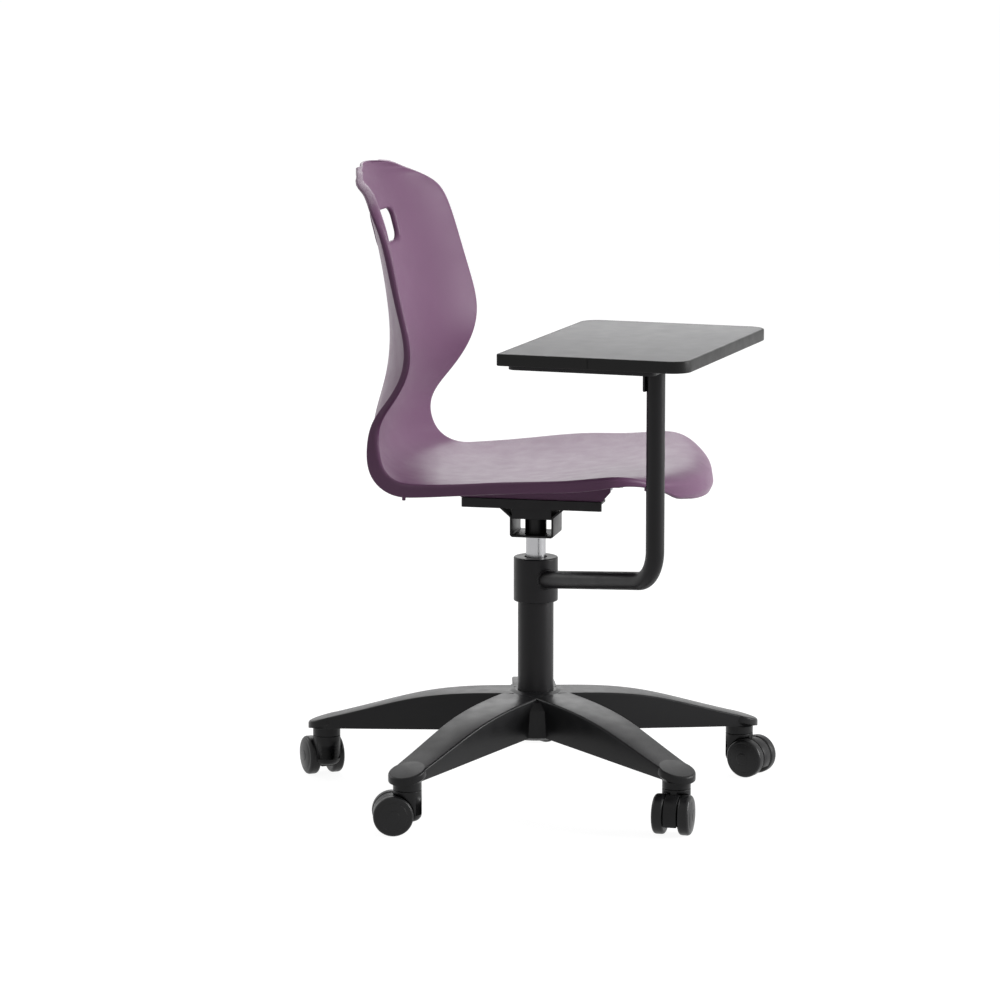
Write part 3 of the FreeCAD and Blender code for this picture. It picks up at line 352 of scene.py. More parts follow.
class Graph:
    """The nodes of one material or world."""

    def __init__(self, tree: bpy.types.NodeTree) -> None:
        """Clears the tree that the nodes go into."""
        self.tree = tree
        self.tree.nodes.clear()

    def add(self, kind: str, inputs: dict[str | int, object] | None = None, **settings: object) -> bpy.types.Node:
        """One node.

        Args:
            kind: the node's type.
            inputs: its inputs by name or number, each a number, a colour or another node's output.
            settings: its other settings.

        Returns:
            The node.
        """
        node = self.tree.nodes.new(kind)
        for name, value in settings.items():
            setattr(node, name, value)
        for name, value in (inputs or {}).items():
            if isinstance(value, bpy.types.NodeSocket):
                self.tree.links.new(value, node.inputs[name])
            else:
                node.inputs[name].default_value = value
        return node

    def noise(self, place: bpy.types.NodeSocket, scale: float, detail: float = 3.0) -> bpy.types.NodeSocket:
        """A noise pattern's value at a place."""
        return self.add("ShaderNodeTexNoise", {"Vector": place, "Scale": scale, "Detail": detail}).outputs["Fac"]

    def ranged(self, value: bpy.types.NodeSocket, low: float, high: float, to_low: float,
               to_high: float) -> bpy.types.NodeSocket:
        """A value mapped from low..high to to_low..to_high."""
        return self.add("ShaderNodeMapRange", {"Value": value, "From Min": low, "From Max": high,
                                               "To Min": to_low, "To Max": to_high}).outputs[0]

    def blended(self, share: object, first: object, second: object) -> bpy.types.NodeSocket:
        """A colour between two others."""
        node = self.add("ShaderNodeMix", {0: share, 6: first, 7: second}, data_type="RGBA")
        return node.outputs[2]


@dataclass(frozen=True)
class Finish:
    """One surface finish.

    Attributes:
        slot: the record's material slot.
        colour: its screen colour.
        grain: its relief.
        cell: the grain's size in millimetres.
        relief: the grain's height in millimetres.
        roughness: the mean roughness.
        spread: how far the roughness drifts.
        drift: how far the colour drifts, as a share.
        metallic: 1 for bare metal.
        specular: the specular level.
        worn: how much lighter an edge is, as a share of the way to pale grey.
    """

    slot: str
    colour: tuple[float, float, float]
    grain: Grain
    cell: float
    relief: float
    roughness: float
    spread: float = 0.05
    drift: float = 0.06
    metallic: float = 0.0
    specular: float = 0.5
    worn: float = 0.0

    def height(self, graph: Graph, place: bpy.types.NodeSocket) -> bpy.types.NodeSocket:
        """The relief's pattern, from 0 to 1, at the grain's own scale.

        Args:
            graph: the material's nodes.
            place: the point on the surface.

        Returns:
            The pattern's value.
        """
        scale = 1 / (self.cell * MM)
        if self.grain is Grain.LEATHERED:
            cells = graph.add("ShaderNodeTexVoronoi", {"Vector": place, "Scale": scale}, feature="DISTANCE_TO_EDGE")
            return graph.ranged(cells.outputs[0], 0.0, 0.25, 0.0, 1.0)
        if self.grain is Grain.BRUSHED:
            stretched = graph.add("ShaderNodeMapping", {"Vector": place, "Scale": (1.0, 1.0, 0.04)})
            return graph.noise(stretched.outputs[0], scale, 2.0)
        return graph.noise(place, scale, 1.0 if self.grain is Grain.SPRAYED else 4.0)

    def build(self) -> bpy.types.Material:
        """The material: drifting colour, painted shade in the grain's low parts, pale edges, scuffed roughness and the
        grain as bump.

        Returns:
            The new material.
        """
        material = bpy.data.materials.new(self.slot)
        material.use_nodes = True
        graph = Graph(material.node_tree)
        place = graph.add("ShaderNodeTexCoord").outputs["Object"]
        base = np.array(linear(self.colour))
        dark, pale = base * (1 - self.drift), np.minimum(base * (1 + self.drift), 1.0)
        dark[3] = pale[3] = 1.0
        drift = graph.ranged(graph.noise(place, DRIFT_SCALE, 4.0), 0.35, 0.65, 0.0, 1.0)
        colour = graph.blended(drift, tuple(dark), tuple(pale))
        relief = self.height(graph, place)
        # Painted shade: where the grain's relief is low, its hollows, the colour is darkened a little towards a deeper
        # tone
        fine = graph.ranged(relief, 0.2, 0.8, 0.0, 1.0)
        colour = graph.blended(fine, graph.blended(0.12, colour, tuple(dark * 0.6)), colour)
        if self.worn:
            soft = graph.add("ShaderNodeBevel", {"Radius": 1.1 * MM}, samples=4).outputs[0]
            true = graph.add("ShaderNodeNewGeometry").outputs["Normal"]
            along = graph.add("ShaderNodeVectorMath", {0: soft, 1: true}, operation="DOT_PRODUCT").outputs["Value"]
            edge = graph.ranged(along, 0.985, 0.90, 0.0, self.worn)
            patch = graph.ranged(graph.noise(place, WEAR_SCALE, 5.0), 0.35, 0.6, 0.2, 1.0)
            share = graph.add("ShaderNodeMath", {0: edge, 1: patch}, operation="MULTIPLY").outputs[0]
            colour = graph.blended(share, colour, linear(PALE_EDGE))
        scuffs = graph.noise(place, SCUFF_SCALE, 6.0)
        rough = graph.ranged(scuffs, 0.3, 0.7, self.roughness - self.spread, self.roughness + self.spread)
        bump = graph.add("ShaderNodeBump", {"Strength": 1.0, "Distance": self.relief * MM, "Height": relief})
        shader = graph.add("ShaderNodeBsdfPrincipled", {
            "Base Color": colour, "Roughness": rough, "Metallic": self.metallic,
            "Specular IOR Level": self.specular, "Normal": bump.outputs[0]})
        graph.add("ShaderNodeOutputMaterial", {"Surface": shader.outputs[0]})
        return material


SHELL = Finish("shell_plastic", (120, 82, 114), Grain.LEATHERED, 0.9, 0.030, 0.34, 0.04, 0.04, specular=0.20)
BASE = Finish("base_nylon", (34, 34, 35), Grain.SPARKED, 0.6, 0.020, 0.34, 0.05, 0.08, specular=0.18, worn=0.03)
HOUSING = Finish("castor_nylon", (28, 28, 29), Grain.SPARKED, 0.6, 0.020, 0.40, 0.06, 0.10, specular=0.20, worn=0.02)
WHEEL = Finish("wheel_nylon", (26, 26, 27), Grain.SPARKED, 0.5, 0.015, 0.36, 0.06, 0.10, specular=0.26, worn=0.03)
BUSH = Finish("bush_plastic", (46, 46, 48), Grain.SPARKED, 0.5, 0.010, 0.45)
PAINT = Finish("black_paint", (30, 29, 31), Grain.SPRAYED, 1.6, 0.025, 0.38, 0.05, 0.08, specular=0.20, worn=0.04)
CHROME = Finish("chrome", (172, 172, 174), Grain.BRUSHED, 0.30, 0.0008, 0.24, 0.03, 0.02, metallic=1.0)
STEEL = Finish("steel", (150, 150, 154), Grain.BRUSHED, 0.25, 0.004, 0.30, 0.08, 0.06, metallic=1.0)
RUBBER = Finish("buffer_rubber", (22, 22, 22), Grain.SPARKED, 0.8, 0.030, 0.78, 0.08)
LAMINATE = Finish("tablet_laminate", (136, 136, 137), Grain.PRESSED, 0.45, 0.012, 0.55, 0.04, 0.04, specular=0.20)
EDGING = Finish("edge_plastic", (30, 30, 30), Grain.SPARKED, 0.5, 0.012, 0.38, 0.05, 0.08, specular=0.18, worn=0.03)

NODE_FINISHES = {
    "star_base": BASE, "column_tube": PAINT, "guide_bush": BUSH, "thrust_washer": STEEL, "thrust_bearing": STEEL,
    "piston_rod": CHROME, "piston": STEEL, "rubber_buffer": RUBBER, "end_washer": STEEL, "retaining_clip": STEEL,
    "gas_cylinder": CHROME, "rod_guide": STEEL, "taper_socket": PAINT, "lift_bracket": PAINT, "seat_plate": PAINT,
    "plate_screws": STEEL, "lever_pin_rod": STEEL, "seat_shell": SHELL, "stacking_lugs": SHELL,
    "release_lever": STEEL, "lever_grip": HOUSING, "valve_pin": BUSH, "arm_collar": PAINT, "collar_bush": BUSH,
    "arm_tube": PAINT, "tablet_plate": PAINT, "tablet_screws": STEEL, "tablet_board": LAMINATE,
    "tablet_edge_band": EDGING, "castor_housing": HOUSING, "castor_stem": STEEL, "castor_axle": STEEL,
    "castor_wheel": WHEEL,
}


def close_openings(shape: bmesh.types.BMesh) -> None:
    """Fills each open end of a shape."""
    bmesh.ops.holes_fill(shape, edges=[edge for edge in shape.edges if edge.is_boundary], sides=0)


class Workshop:
    """Makes the pieces, dresses them, and gives the carried nodes their finishes.

    Attributes:
        weld: how near, in millimetres, points of a new skin are merged.
        weld_carried: the same for a carried shape.
        flat: the angle in degrees below which a carried shape's faces are joined.
        sharp: the angle in degrees past which its edges are rounded.
        made: the materials by slot.
    """

    weld, weld_carried, flat, sharp = 0.002, 0.01, 0.6, 40.0

    def __init__(self) -> None:
        """Starts with no material made."""
        self.made: dict[str, bpy.types.Material] = {}

    def material(self, finish: Finish) -> bpy.types.Material:
        """The finish's material, made once.

        Args:
            finish: the finish.

        Returns:
            Its material.
        """
        if finish.slot not in self.made:
            self.made[finish.slot] = finish.build()
        return self.made[finish.slot]

    def piece(self, name: str, skin: Skin, finish: Finish, body: str, stands_for: Sequence[str] = (),
              crease: float = 34.0) -> bpy.types.Object:
        """A closed piece from a skin: merged, its open ends filled, its faces turned outwards.

        Args:
            name: the piece's name.
            skin: its surface in millimetres.
            finish: what it is finished in.
            body: the body that it rides on.
            stands_for: the nodes that it replaces.
            crease: the angle in degrees past which an edge stays sharp.

        Returns:
            The piece's object.
        """
        mesh = bpy.data.meshes.new(name)
        mesh.from_pydata((skin.points * MM).tolist(), [], skin.faces)
        shape = bmesh.new()
        shape.from_mesh(mesh)
        bmesh.ops.remove_doubles(shape, verts=shape.verts, dist=self.weld * MM)
        close_openings(shape)
        bmesh.ops.recalc_face_normals(shape, faces=shape.faces)
        return self.finished(name, mesh, shape, finish, body, stands_for, crease)

    def softened(self, node: str, body: str, edge: float, lowest: float = 0.0) -> bpy.types.Object:
        """A carried node's own shape with its edges rounded.

        Args:
            node: the node that it copies and stands for.
            body: the body that it rides on.
            edge: the rounding in millimetres.
            lowest: the height that the shape is cut off at.

        Returns:
            The piece's object.
        """
        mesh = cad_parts[node].data.copy()
        shape = bmesh.new()
        shape.from_mesh(mesh)
        if lowest:
            whole = [*shape.verts, *shape.edges, *shape.faces]
            cut = {"plane_co": (0, 0, lowest * MM), "plane_no": (0, 0, -1), "clear_outer": True}
            bmesh.ops.bisect_plane(shape, geom=whole, **cut)
            close_openings(shape)
        bmesh.ops.remove_doubles(shape, verts=shape.verts, dist=self.weld_carried * MM)
        bmesh.ops.dissolve_limit(shape, angle_limit=np.radians(self.flat), verts=shape.verts, edges=shape.edges)
        piece = self.finished(node + "_dressed", mesh, shape, finish_of(node), body, [node], self.sharp)
        soft = piece.modifiers.new("soft_edges", "BEVEL")
        soft.width = edge * MM
        soft.segments = 2
        soft.limit_method = "ANGLE"
        soft.angle_limit = np.radians(self.sharp)
        soft.harden_normals = True
        return piece

    def finished(self, name: str, mesh: bpy.types.Mesh, shape: bmesh.types.BMesh, finish: Finish, body: str,
                 stands_for: Sequence[str], crease: float) -> bpy.types.Object:
        """The last steps of each piece: its mesh, shading, finish, body and nodes.

        Args:
            name: the piece's name.
            mesh: the mesh that the shape goes into.
            shape: the shape, which is freed.
            finish: what it is finished in.
            body: the body that it rides on.
            stands_for: the nodes that it replaces.
            crease: the angle in degrees past which an edge stays sharp.

        Returns:
            The piece's object.
        """
        shape.to_mesh(mesh)
        shape.free()
        mesh.materials.clear()
        mesh.materials.append(self.material(finish))
        mesh.shade_smooth()
        mesh.set_sharp_from_angle(angle=np.radians(crease))
        piece = bpy.data.objects.new(name, mesh)
        bpy.context.scene.collection.objects.link(piece)
        if stands_for:
            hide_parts(*stands_for)
        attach(piece, body)
        log.info("%s: %d faces, rides on %s", name, len(mesh.polygons), body)
        return piece

    def dress_nodes(self) -> None:
        """Gives every carried node the finish of its kind."""
        for name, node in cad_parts.items():
            node.data.materials.clear()
            node.data.materials.append(self.material(finish_of(name)))
            log.info("%s: carried, %s", name, finish_of(name).slot)


def finish_of(node: str) -> Finish:
    """The finish of the longest name that the node's own name starts with."""
    return NODE_FINISHES[max((name for name in NODE_FINISHES if node.startswith(name)), key=len)]


# The moulded shell
@dataclass
class SeatShell:
    """The seat and back in one moulding, with its flange, handle slot, ribs and bosses.

    Attributes:
        front: how far the seat reaches forward of the column.
        rear: how far the back reaches rearward.
        seat_height: the height of the seat's rim.
        back_height: how far the back rises above it.
        half_width: the widest half width.
        flange: the deepest flange.
        wall: the wall's thickness.
        rim_round: the widest rounding of the rim on its way down into the flange.
        top_roll: how much wider the rim's rounding is along the top.
        slot_half: the handle slot's half width and half height.
        slot_round: the radius of its corners.
        slot_height: the slot's middle height.
        slot_room: how far round the slot the sections give way to its rings.
        slot_lip: the rounding of the slot's front edge.
        slot_rim: the margin and depth of each ring of the slot's rim behind the wall.
        slot_foot: the margins at which that rim meets the wall's inner skin.
        rib_side: how far to each side a long rib stands.
        rib_run: its front end, the front and rear of its foot, and its rear end, along Y.
        rib_foot: the heights of its ends and of its foot.
        rib_wall: its thickness.
        boss_places: how far to each side the screw bosses stand, and their two places along Y.
        boss: a boss's radius at its foot and at its root.
        lugs: the places of the stacking lugs along Y.
        lug: a lug's radius and how far it hangs down.
        knots: the stations' places along the moulding's middle line.
        table: the stations in millimetres.
        rows: the sections along the moulding.
        columns: the runs across it.
        edge_points: the points round the flange's lower edge.
        under_seat: the first and last station of the seat's middle part.
        seat_rim: the first station of the seat's rim, and the one past its last.
        upright: the first station of the back, and the one past its last.
        rolled: the stations between which the rim's rounding widens.
        faded: the station from which the flange is turned in less and less.
        stations: front to top, shares of depth and height of the middle line, half width, depth and
            height of the rim, and flange depth.
    """

    front: float = 246.0
    rear: float = 247.0
    seat_height: float = 476.0
    back_height: float = 406.5
    half_width: float = 229.0
    flange: float = 21.0
    wall: float = 4.3
    rim_round: float = 6.3
    top_roll: float = 20.0
    slot_half: tuple[float, float] = (52.0, 22.0)
    slot_round: float = 13.0
    slot_height: float = 791.0
    slot_room: float = 15.0
    slot_lip: float = 6.0
    slot_rim: tuple[tuple[float, float], ...] = ((0.0, 6.6), (0.45, 7.6), (1.5, 8.1), (2.6, 7.6), (3.0, 6.6),
                                                 (3.0, 5.2))
    slot_foot: tuple[float, float] = (3.6, 5.2)
    rib_side: float = 76.0
    rib_run: tuple[float, float, float, float] = (-121.0, -109.0, 89.0, 113.0)
    rib_foot: tuple[float, float] = (441.0, 427.2)
    rib_wall: float = 3.0
    boss_places: tuple[float, tuple[float, float]] = (66.0, (-90.0, 70.0))
    boss: tuple[float, float] = (9.0, 9.4)
    lugs: tuple[float, float] = (-193.0, 140.0)
    lug: tuple[float, float] = (2.5, 6.0)
    rows: int = 220
    columns: int = 84
    edge_points: int = 5
    under_seat: tuple[int, int] = (4, 13)
    seat_rim: tuple[int, int] = (2, 13)
    upright: tuple[int, int] = (14, 24)
    rolled: tuple[int, int] = (20, 23)
    faded: int = 24
    stations: tuple[tuple[float, ...], ...] = (
        (-0.984, 0.908, 0.270, -0.962, 0.914, 0.31), (-0.999, 0.919, 0.420, -0.935, 0.926, 0.31),
        (-1.000, 0.938, 0.550, -0.890, 0.946, 0.31), (-0.985, 0.962, 0.700, -0.842, 0.975, 0.32),
        (-0.930, 0.985, 0.835, -0.755, 1.004, 0.46), (-0.820, 0.995, 0.918, -0.648, 1.020, 0.64),
        (-0.650, 0.990, 0.952, -0.520, 1.017, 0.77), (-0.407, 0.974, 0.972, -0.333, 1.006, 0.78),
        (-0.122, 0.958, 0.992, -0.114, 1.000, 0.76), (0.162, 0.947, 0.960, 0.126, 0.989, 0.76),
        (0.425, 0.943, 0.915, 0.356, 0.977, 0.78), (0.627, 0.950, 0.868, 0.518, 0.972, 0.88),
        (0.770, 0.973, 0.816, 0.632, 0.977, 0.98), (0.850, 1.015, 0.760, 0.713, 1.007, 1.00),
        (0.878, 1.079, 0.700, 0.753, 1.070, 0.82), (0.867, 1.158, 0.703, 0.745, 1.146, 0.56),
        (0.834, 1.244, 0.777, 0.648, 1.237, 0.43), (0.805, 1.331, 0.847, 0.559, 1.331, 0.42),
        (0.790, 1.442, 0.913, 0.530, 1.442, 0.42), (0.801, 1.565, 0.917, 0.571, 1.567, 0.43),
        (0.834, 1.689, 0.880, 0.623, 1.691, 0.45), (0.875, 1.790, 0.860, 0.680, 1.810, 0.43),
        (0.915, 1.870, 0.830, 0.737, 1.881, 0.40), (0.948, 1.920, 0.740, 0.785, 1.916, 0.37),
        (0.972, 1.952, 0.638, 0.844, 1.943, 0.34), (0.982, 1.973, 0.530, 0.899, 1.965, 0.32),
        (0.986, 1.986, 0.418, 0.925, 1.981, 0.29), (0.986, 1.994, 0.300, 0.955, 1.991, 0.26),
        (0.976, 1.999, 0.118, 0.968, 1.999, 0.24))
    knots: np.ndarray = field(init=False)
    table: np.ndarray = field(init=False)

    def __post_init__(self) -> None:
        """The stations in millimetres, and their places along the moulding's middle line."""
        share = np.array(self.stations)
        depth, height = share[:, [0, 3]], share[:, [1, 4]]
        depth = np.where(depth < 0, depth * self.front, depth * self.rear)
        height = np.where(height <= 1, height * self.seat_height, self.seat_height + (height - 1) * self.back_height)
        self.table = np.column_stack([depth[:, 0], height[:, 0], share[:, 2] * self.half_width,
                                      depth[:, 1], height[:, 1], share[:, 5] * self.flange])
        middle = self.table[:, :2] + self.table[:, 3:5]
        runs = np.linalg.norm(np.diff(middle, axis=0) / 2, axis=1)
        self.knots = np.concatenate([[0.0], np.cumsum(runs)])

    def section(self, along: np.ndarray) -> dict[str, np.ndarray]:
        """The sizes of the sections at places along the moulding.

        The direction down is square to the run of the middle line. The rim is rounded by the flange's
        depth less half a wall, but by no less than the wall. Across, the rounding grows towards the top
        by the blend 3 t^2 - 2 t^3, and round the top corners the flange fades out by the same blend.

        Args:
            along: the places.

        Returns:
            By name: the middle and the rim in y and z, the dish's half width, the rounding across and
            down, the depth of the flange, the directions down and forward along the middle line, and how
            much of the flange is turned in.
        """
        flat = np.ravel(along)
        row = spline(self.knots, self.table, flat)
        ahead = spline(self.knots, self.table, np.minimum(flat + 1.5, self.knots[-1]))
        behind = spline(self.knots, self.table, np.maximum(flat - 1.5, 0.0))
        run = (ahead - behind)[:, :2] + (ahead - behind)[:, 3:5]
        run /= np.linalg.norm(run, axis=1, keepdims=True)
        rounding = np.clip(row[:, 5:6] - self.wall / 2, self.wall + 0.1, self.rim_round)
        low, high = self.knots[list(self.rolled)]
        blend = np.clip((flat[:, None] - low) / (high - low), 0, 1)
        across = rounding + self.top_roll * blend ** 2 * (3 - 2 * blend)
        near = np.clip((self.knots[-1] - flat[:, None]) / (self.knots[-1] - self.knots[self.faded]), 0, 1)
        down = np.stack([run[:, 1], -run[:, 0]], axis=1)
        sizes = {"middle": row[:, :2], "rim": row[:, 3:5], "half": row[:, 2:3] - across, "across": across,
                 "rounding": rounding, "deep": row[:, 5:6], "down": down, "run": run,
                 "turned_in": near ** 2 * (3 - 2 * near)}
        return {name: value.reshape(along.shape + value.shape[1:]) for name, value in sizes.items()}

    def dish(self, along: np.ndarray, share: np.ndarray, deep: float = 0.0) -> np.ndarray:
        """Points of the dished sheet: x = share x half width, yz = middle + (rim - middle) share^2 + deep x down.

        Args:
            along: the places along the moulding.
            share: the places across it, from -1 to 1, of the same shape.
            deep: the depth into the wall.

        Returns:
            The points.
        """
        size = self.section(along)
        share = share[..., None]
        bent = size["middle"] + (size["rim"] - size["middle"]) * share ** 2 + deep * size["down"]
        return np.concatenate([share * size["half"], bent], axis=-1)

    def edge(self, along: np.ndarray, deep: float) -> np.ndarray:
        """Points from the dish's edge round the rim and down the flange, evenly spaced along that line.

        Round the rim, at an angle a: x = half + (across - deep) sin a and down = deep + t (r - deep)
        (1 - cos a), with t the share turned in, and with the dish's own slope fading out by a quarter
        turn. Then comes the straight flange.

        Args:
            along: the sections.
            deep: 0 for the outer skin, or the wall for the inner one.

        Returns:
            The points, sections by steps by 3, for the +X side.
        """
        size = {name: value[:, None] for name, value in self.section(along).items()}
        radius, half = size["rounding"], size["half"]
        arc = radius * np.pi / 2
        straight = np.maximum(size["deep"] - self.wall / 2 - radius, 0.05)
        way = np.linspace(0, 1, 11)[None, 1:, None] * (arc + straight)
        angle = np.minimum(way / radius, np.pi / 2)
        out = (size["across"] - deep) * np.sin(angle)
        below = deep + size["turned_in"] * ((radius - deep) * (1 - np.cos(angle)) + np.maximum(way - arc, 0.0))
        slope = 2 * (size["rim"] - size["middle"]) / half
        bent = size["rim"] + below * size["down"] + slope * out * (1 - angle / (np.pi / 2)) ** 2
        return np.concatenate([half + out, bent], axis=-1)

    def loops(self, along: np.ndarray) -> tuple[np.ndarray, np.ndarray, np.ndarray]:
        """The closed section loops, and their outer and inner skins from flange to flange.

        Args:
            along: the sections.

        Returns:
            The loops, the outer skin and the inner skin, each sections by points by 3.
        """
        share = np.linspace(-1, 1, self.columns + 1)
        place, across = np.broadcast_arrays(along[:, None], share[None, :])
        mirror = np.array([-1.0, 1.0, 1.0])
        skins, edges = [], []
        for deep in (0.0, self.wall):
            right = self.edge(along, deep)
            edges.append(right)
            skins.append(np.concatenate([right[:, ::-1] * mirror, self.dish(place, across, deep), right], axis=1))
        outer, inner = edges[0][:, -1:], edges[1][:, -1:]
        size = self.section(along)
        down = np.concatenate([np.zeros((len(along), 1)), size["down"]], axis=1)[:, None]
        angle = np.linspace(0, np.pi, self.edge_points + 2)[None, 1:-1, None]
        round_edge = (outer + inner) / 2 + (outer - inner) / 2 * np.cos(angle) + down * self.wall / 2 * np.sin(angle)
        loop = np.concatenate([skins[0], round_edge, skins[1][:, ::-1], round_edge[:, ::-1] * mirror], axis=1)
        return loop, skins[0], skins[1]

    def locate(self, x: np.ndarray, z: np.ndarray) -> tuple[np.ndarray, np.ndarray]:
        """The place along and across of points of the back, by stepping along by what is missing in height.

        Args:
            x: how far to the side each point lies.
            z: its height.

        Returns:
            The places along the moulding, and the shares across it.
        """
        back = slice(*self.upright)
        along = np.interp(z, self.table[back, 1], self.knots[back])
        share = np.zeros_like(x)
        for _ in range(12):
            share = x / self.section(along)["half"][..., 0]
            along = along + (z - self.dish(along, share)[..., 2])
        return along, share

    def slot_rings(self, along: np.ndarray, share: np.ndarray) -> np.ndarray:
        """The rings of points that lead from the opening left in the outer skin, through the slot, to the inner one.

        A point of the opening's edge goes to the nearest point of the slot's core rectangle, pushed out by the
        corner radius and a margin. On the way the margin and the depth follow the slot's rounded lip.

        Args:
            along: the places along of the opening's edge, in order round it.
            share: its places across.

        Returns:
            The points, rings by points by 3.
        """
        edge = self.dish(along, share)
        core = np.array(self.slot_half) - self.slot_round
        middle = np.array([0.0, self.slot_height])
        nearest = middle + np.clip(edge[:, [0, 2]] - middle, -core, core)
        away = edge[:, [0, 2]] - nearest
        away /= np.linalg.norm(away, axis=1, keepdims=True)
        soft = np.radians(np.linspace(0, 90, 7))
        lip = [(self.slot_lip * (1 - np.sin(a)), self.slot_lip * (1 - np.cos(a))) for a in soft]
        rings = []
        first = self.locate(*(nearest + away * (self.slot_round + self.slot_lip)).T)
        for part in np.linspace(0, 1, 7)[:-1]:
            rings.append(self.dish(along + (first[0] - along) * part, share + (first[1] - share) * part))
        for margin, deep in [*lip, *self.slot_rim]:
            place = self.locate(*(nearest + away * (self.slot_round + margin)).T)
            rings.append(self.dish(*place) + np.array([0.0, deep, 0.0]))
        for margin in self.slot_foot:
            last = self.locate(*(nearest + away * (self.slot_round + margin)).T)
            rings.append(self.dish(*last, self.wall))
        for part in np.linspace(1, 0, 7)[1:]:
            rings.append(self.dish(along + (last[0] - along) * part, share + (last[1] - share) * part, self.wall))
        return np.stack(rings)

    def moulding(self) -> Skin:
        """The closed wall: the section loops, the slot, and the rounded front and top edges.

        Those two swell by half a wall x sqrt(1 - s^2), with s the share across, so they end flush.

        Returns:
            The skin.
        """
        trim = self.wall / 2
        along = np.linspace(trim, self.knots[-1] - trim, self.rows + 1)
        share = np.linspace(-1, 1, self.columns + 1)
        loop, outer, inner = self.loops(along)
        size = self.section(along)
        height = self.dish(along, np.zeros_like(along))[:, 2]
        near = np.abs(height - self.slot_height) < self.slot_half[1] + self.slot_room
        tall = np.flatnonzero((along > self.knots[self.upright[0]]) & near)
        low, high = int(tall[0]), int(tall[-1])
        wide = np.flatnonzero(np.abs(share * size["half"][low, 0]) < self.slot_half[0] + self.slot_room)
        left, right = int(wide[0]), int(wide[-1])
        steps = outer.shape[1] - len(share)
        start, span = steps // 2, loop.shape[1]
        opening = np.zeros((len(along) - 1, span), bool)
        opening[low:high, start + left:start + right] = True
        mirrored = outer.shape[1] + self.edge_points + (outer.shape[1] - 1 - (start + right))
        opening[low:high, mirrored:mirrored + right - left] = True
        wall = grid(loop, around=True, left_out=opening)
        rows = np.arange(low, high + 1)
        columns = np.arange(left, right + 1)
        ring_rows = np.concatenate([np.full(len(columns) - 1, low), rows[:-1],
                                    np.full(len(columns) - 1, high), rows[::-1][:-1]])
        ring_columns = np.concatenate([columns[:-1], np.full(len(rows) - 1, right),
                                       columns[::-1][:-1], np.full(len(rows) - 1, left)])
        slot = grid(self.slot_rings(along[ring_rows], share[ring_columns]), around=True)
        ends = []
        angle = np.linspace(0, np.pi, 7)[:, None, None]
        for row, sign in ((0, -1.0), (-1, 1.0)):
            swell = np.sqrt(1 - np.linspace(-1, 1, outer.shape[1]) ** 2)[:, None]
            run = np.concatenate([[0.0], size["run"][row]]) * sign * self.wall / 2 * swell
            across = (outer[row] - inner[row]) / 2
            ends.append(grid((outer[row] + inner[row]) / 2 + across * np.cos(angle) + run * np.sin(angle)))
        return joined([wall, slot] + ends)

    def under(self, x: float, y: np.ndarray) -> np.ndarray:
        """The height of the seat's wall, at mid thickness, over places beneath it.

        Args:
            x: how far to the side they lie.
            y: their places along Y.

        Returns:
            The heights.
        """
        along = np.linspace(*self.knots[list(self.under_seat)], 300)
        line = self.dish(along, x / self.section(along)["half"][:, 0], self.wall / 2)
        return np.interp(y, line[:, 1], line[:, 2])

    def ribs(self) -> Skin:
        """The two long ribs that stand on the seat plate, and the four screw bosses inside them.

        Returns:
            The skin.
        """
        parts, half = [], self.rib_wall / 2
        end, foot = self.rib_foot
        low = np.column_stack([self.rib_run, (end, foot, foot, end)])
        top_y = np.linspace(self.rib_run[-1], self.rib_run[0], 40)
        for x in (-self.rib_side, self.rib_side):
            top = np.column_stack([top_y, self.under(abs(x), top_y)])
            parts.append(prism(np.concatenate([low, top]), x - half, x + half, 0.5, "YZX"))
        aside, places = self.boss_places
        for x in (-aside, aside):
            for y in places:
                top = float(self.under(abs(x), np.array([y]))[0])
                boss = fillet([(0, foot), (self.boss[0], foot), (self.boss[1], top), (0, top)], (0, 0.8, 0, 0),
                              closed=False)
                parts.append(lathe(boss, 32).moved((x, y, 0)))
        return joined(parts)

    def stacking_lugs(self) -> Skin:
        """The four pegs, each at the flange's lower edge where the rim has the lug's place in y.

        Returns:
            The skin.
        """
        radius, drop = self.lug
        rim = slice(*self.seat_rim)
        along = np.interp(self.lugs, self.table[rim, 3], self.knots[rim])
        parts = []
        for x, y, z in self.edge(along, 0.0)[:, -1]:
            peg = fillet([(0, z - drop), (radius, z - drop), (radius, z + radius), (0, z + radius)],
                         (0, 0.8, 0.4, 0), closed=False, steps=3)
            turned = lathe(peg, 24)
            for side in (-1, 1):
                parts.append(turned.moved((side * (x - self.wall / 2), y, 0)))
        return joined(parts)

    def build(self, shop: Workshop) -> None:
        """Makes the moulding and what hangs beneath it.

        Args:
            shop: what makes and dresses the pieces.
        """
        shop.piece("seat_shell_moulding", self.moulding(), SHELL, "seat", ["seat_shell"], crease=50.0)
        shop.piece("stacking_lugs_turned", self.stacking_lugs(), SHELL, "seat", ["stacking_lugs"])
        shop.piece("seat_shell_ribs", self.ribs(), SHELL, "seat", ["seat_shell"])


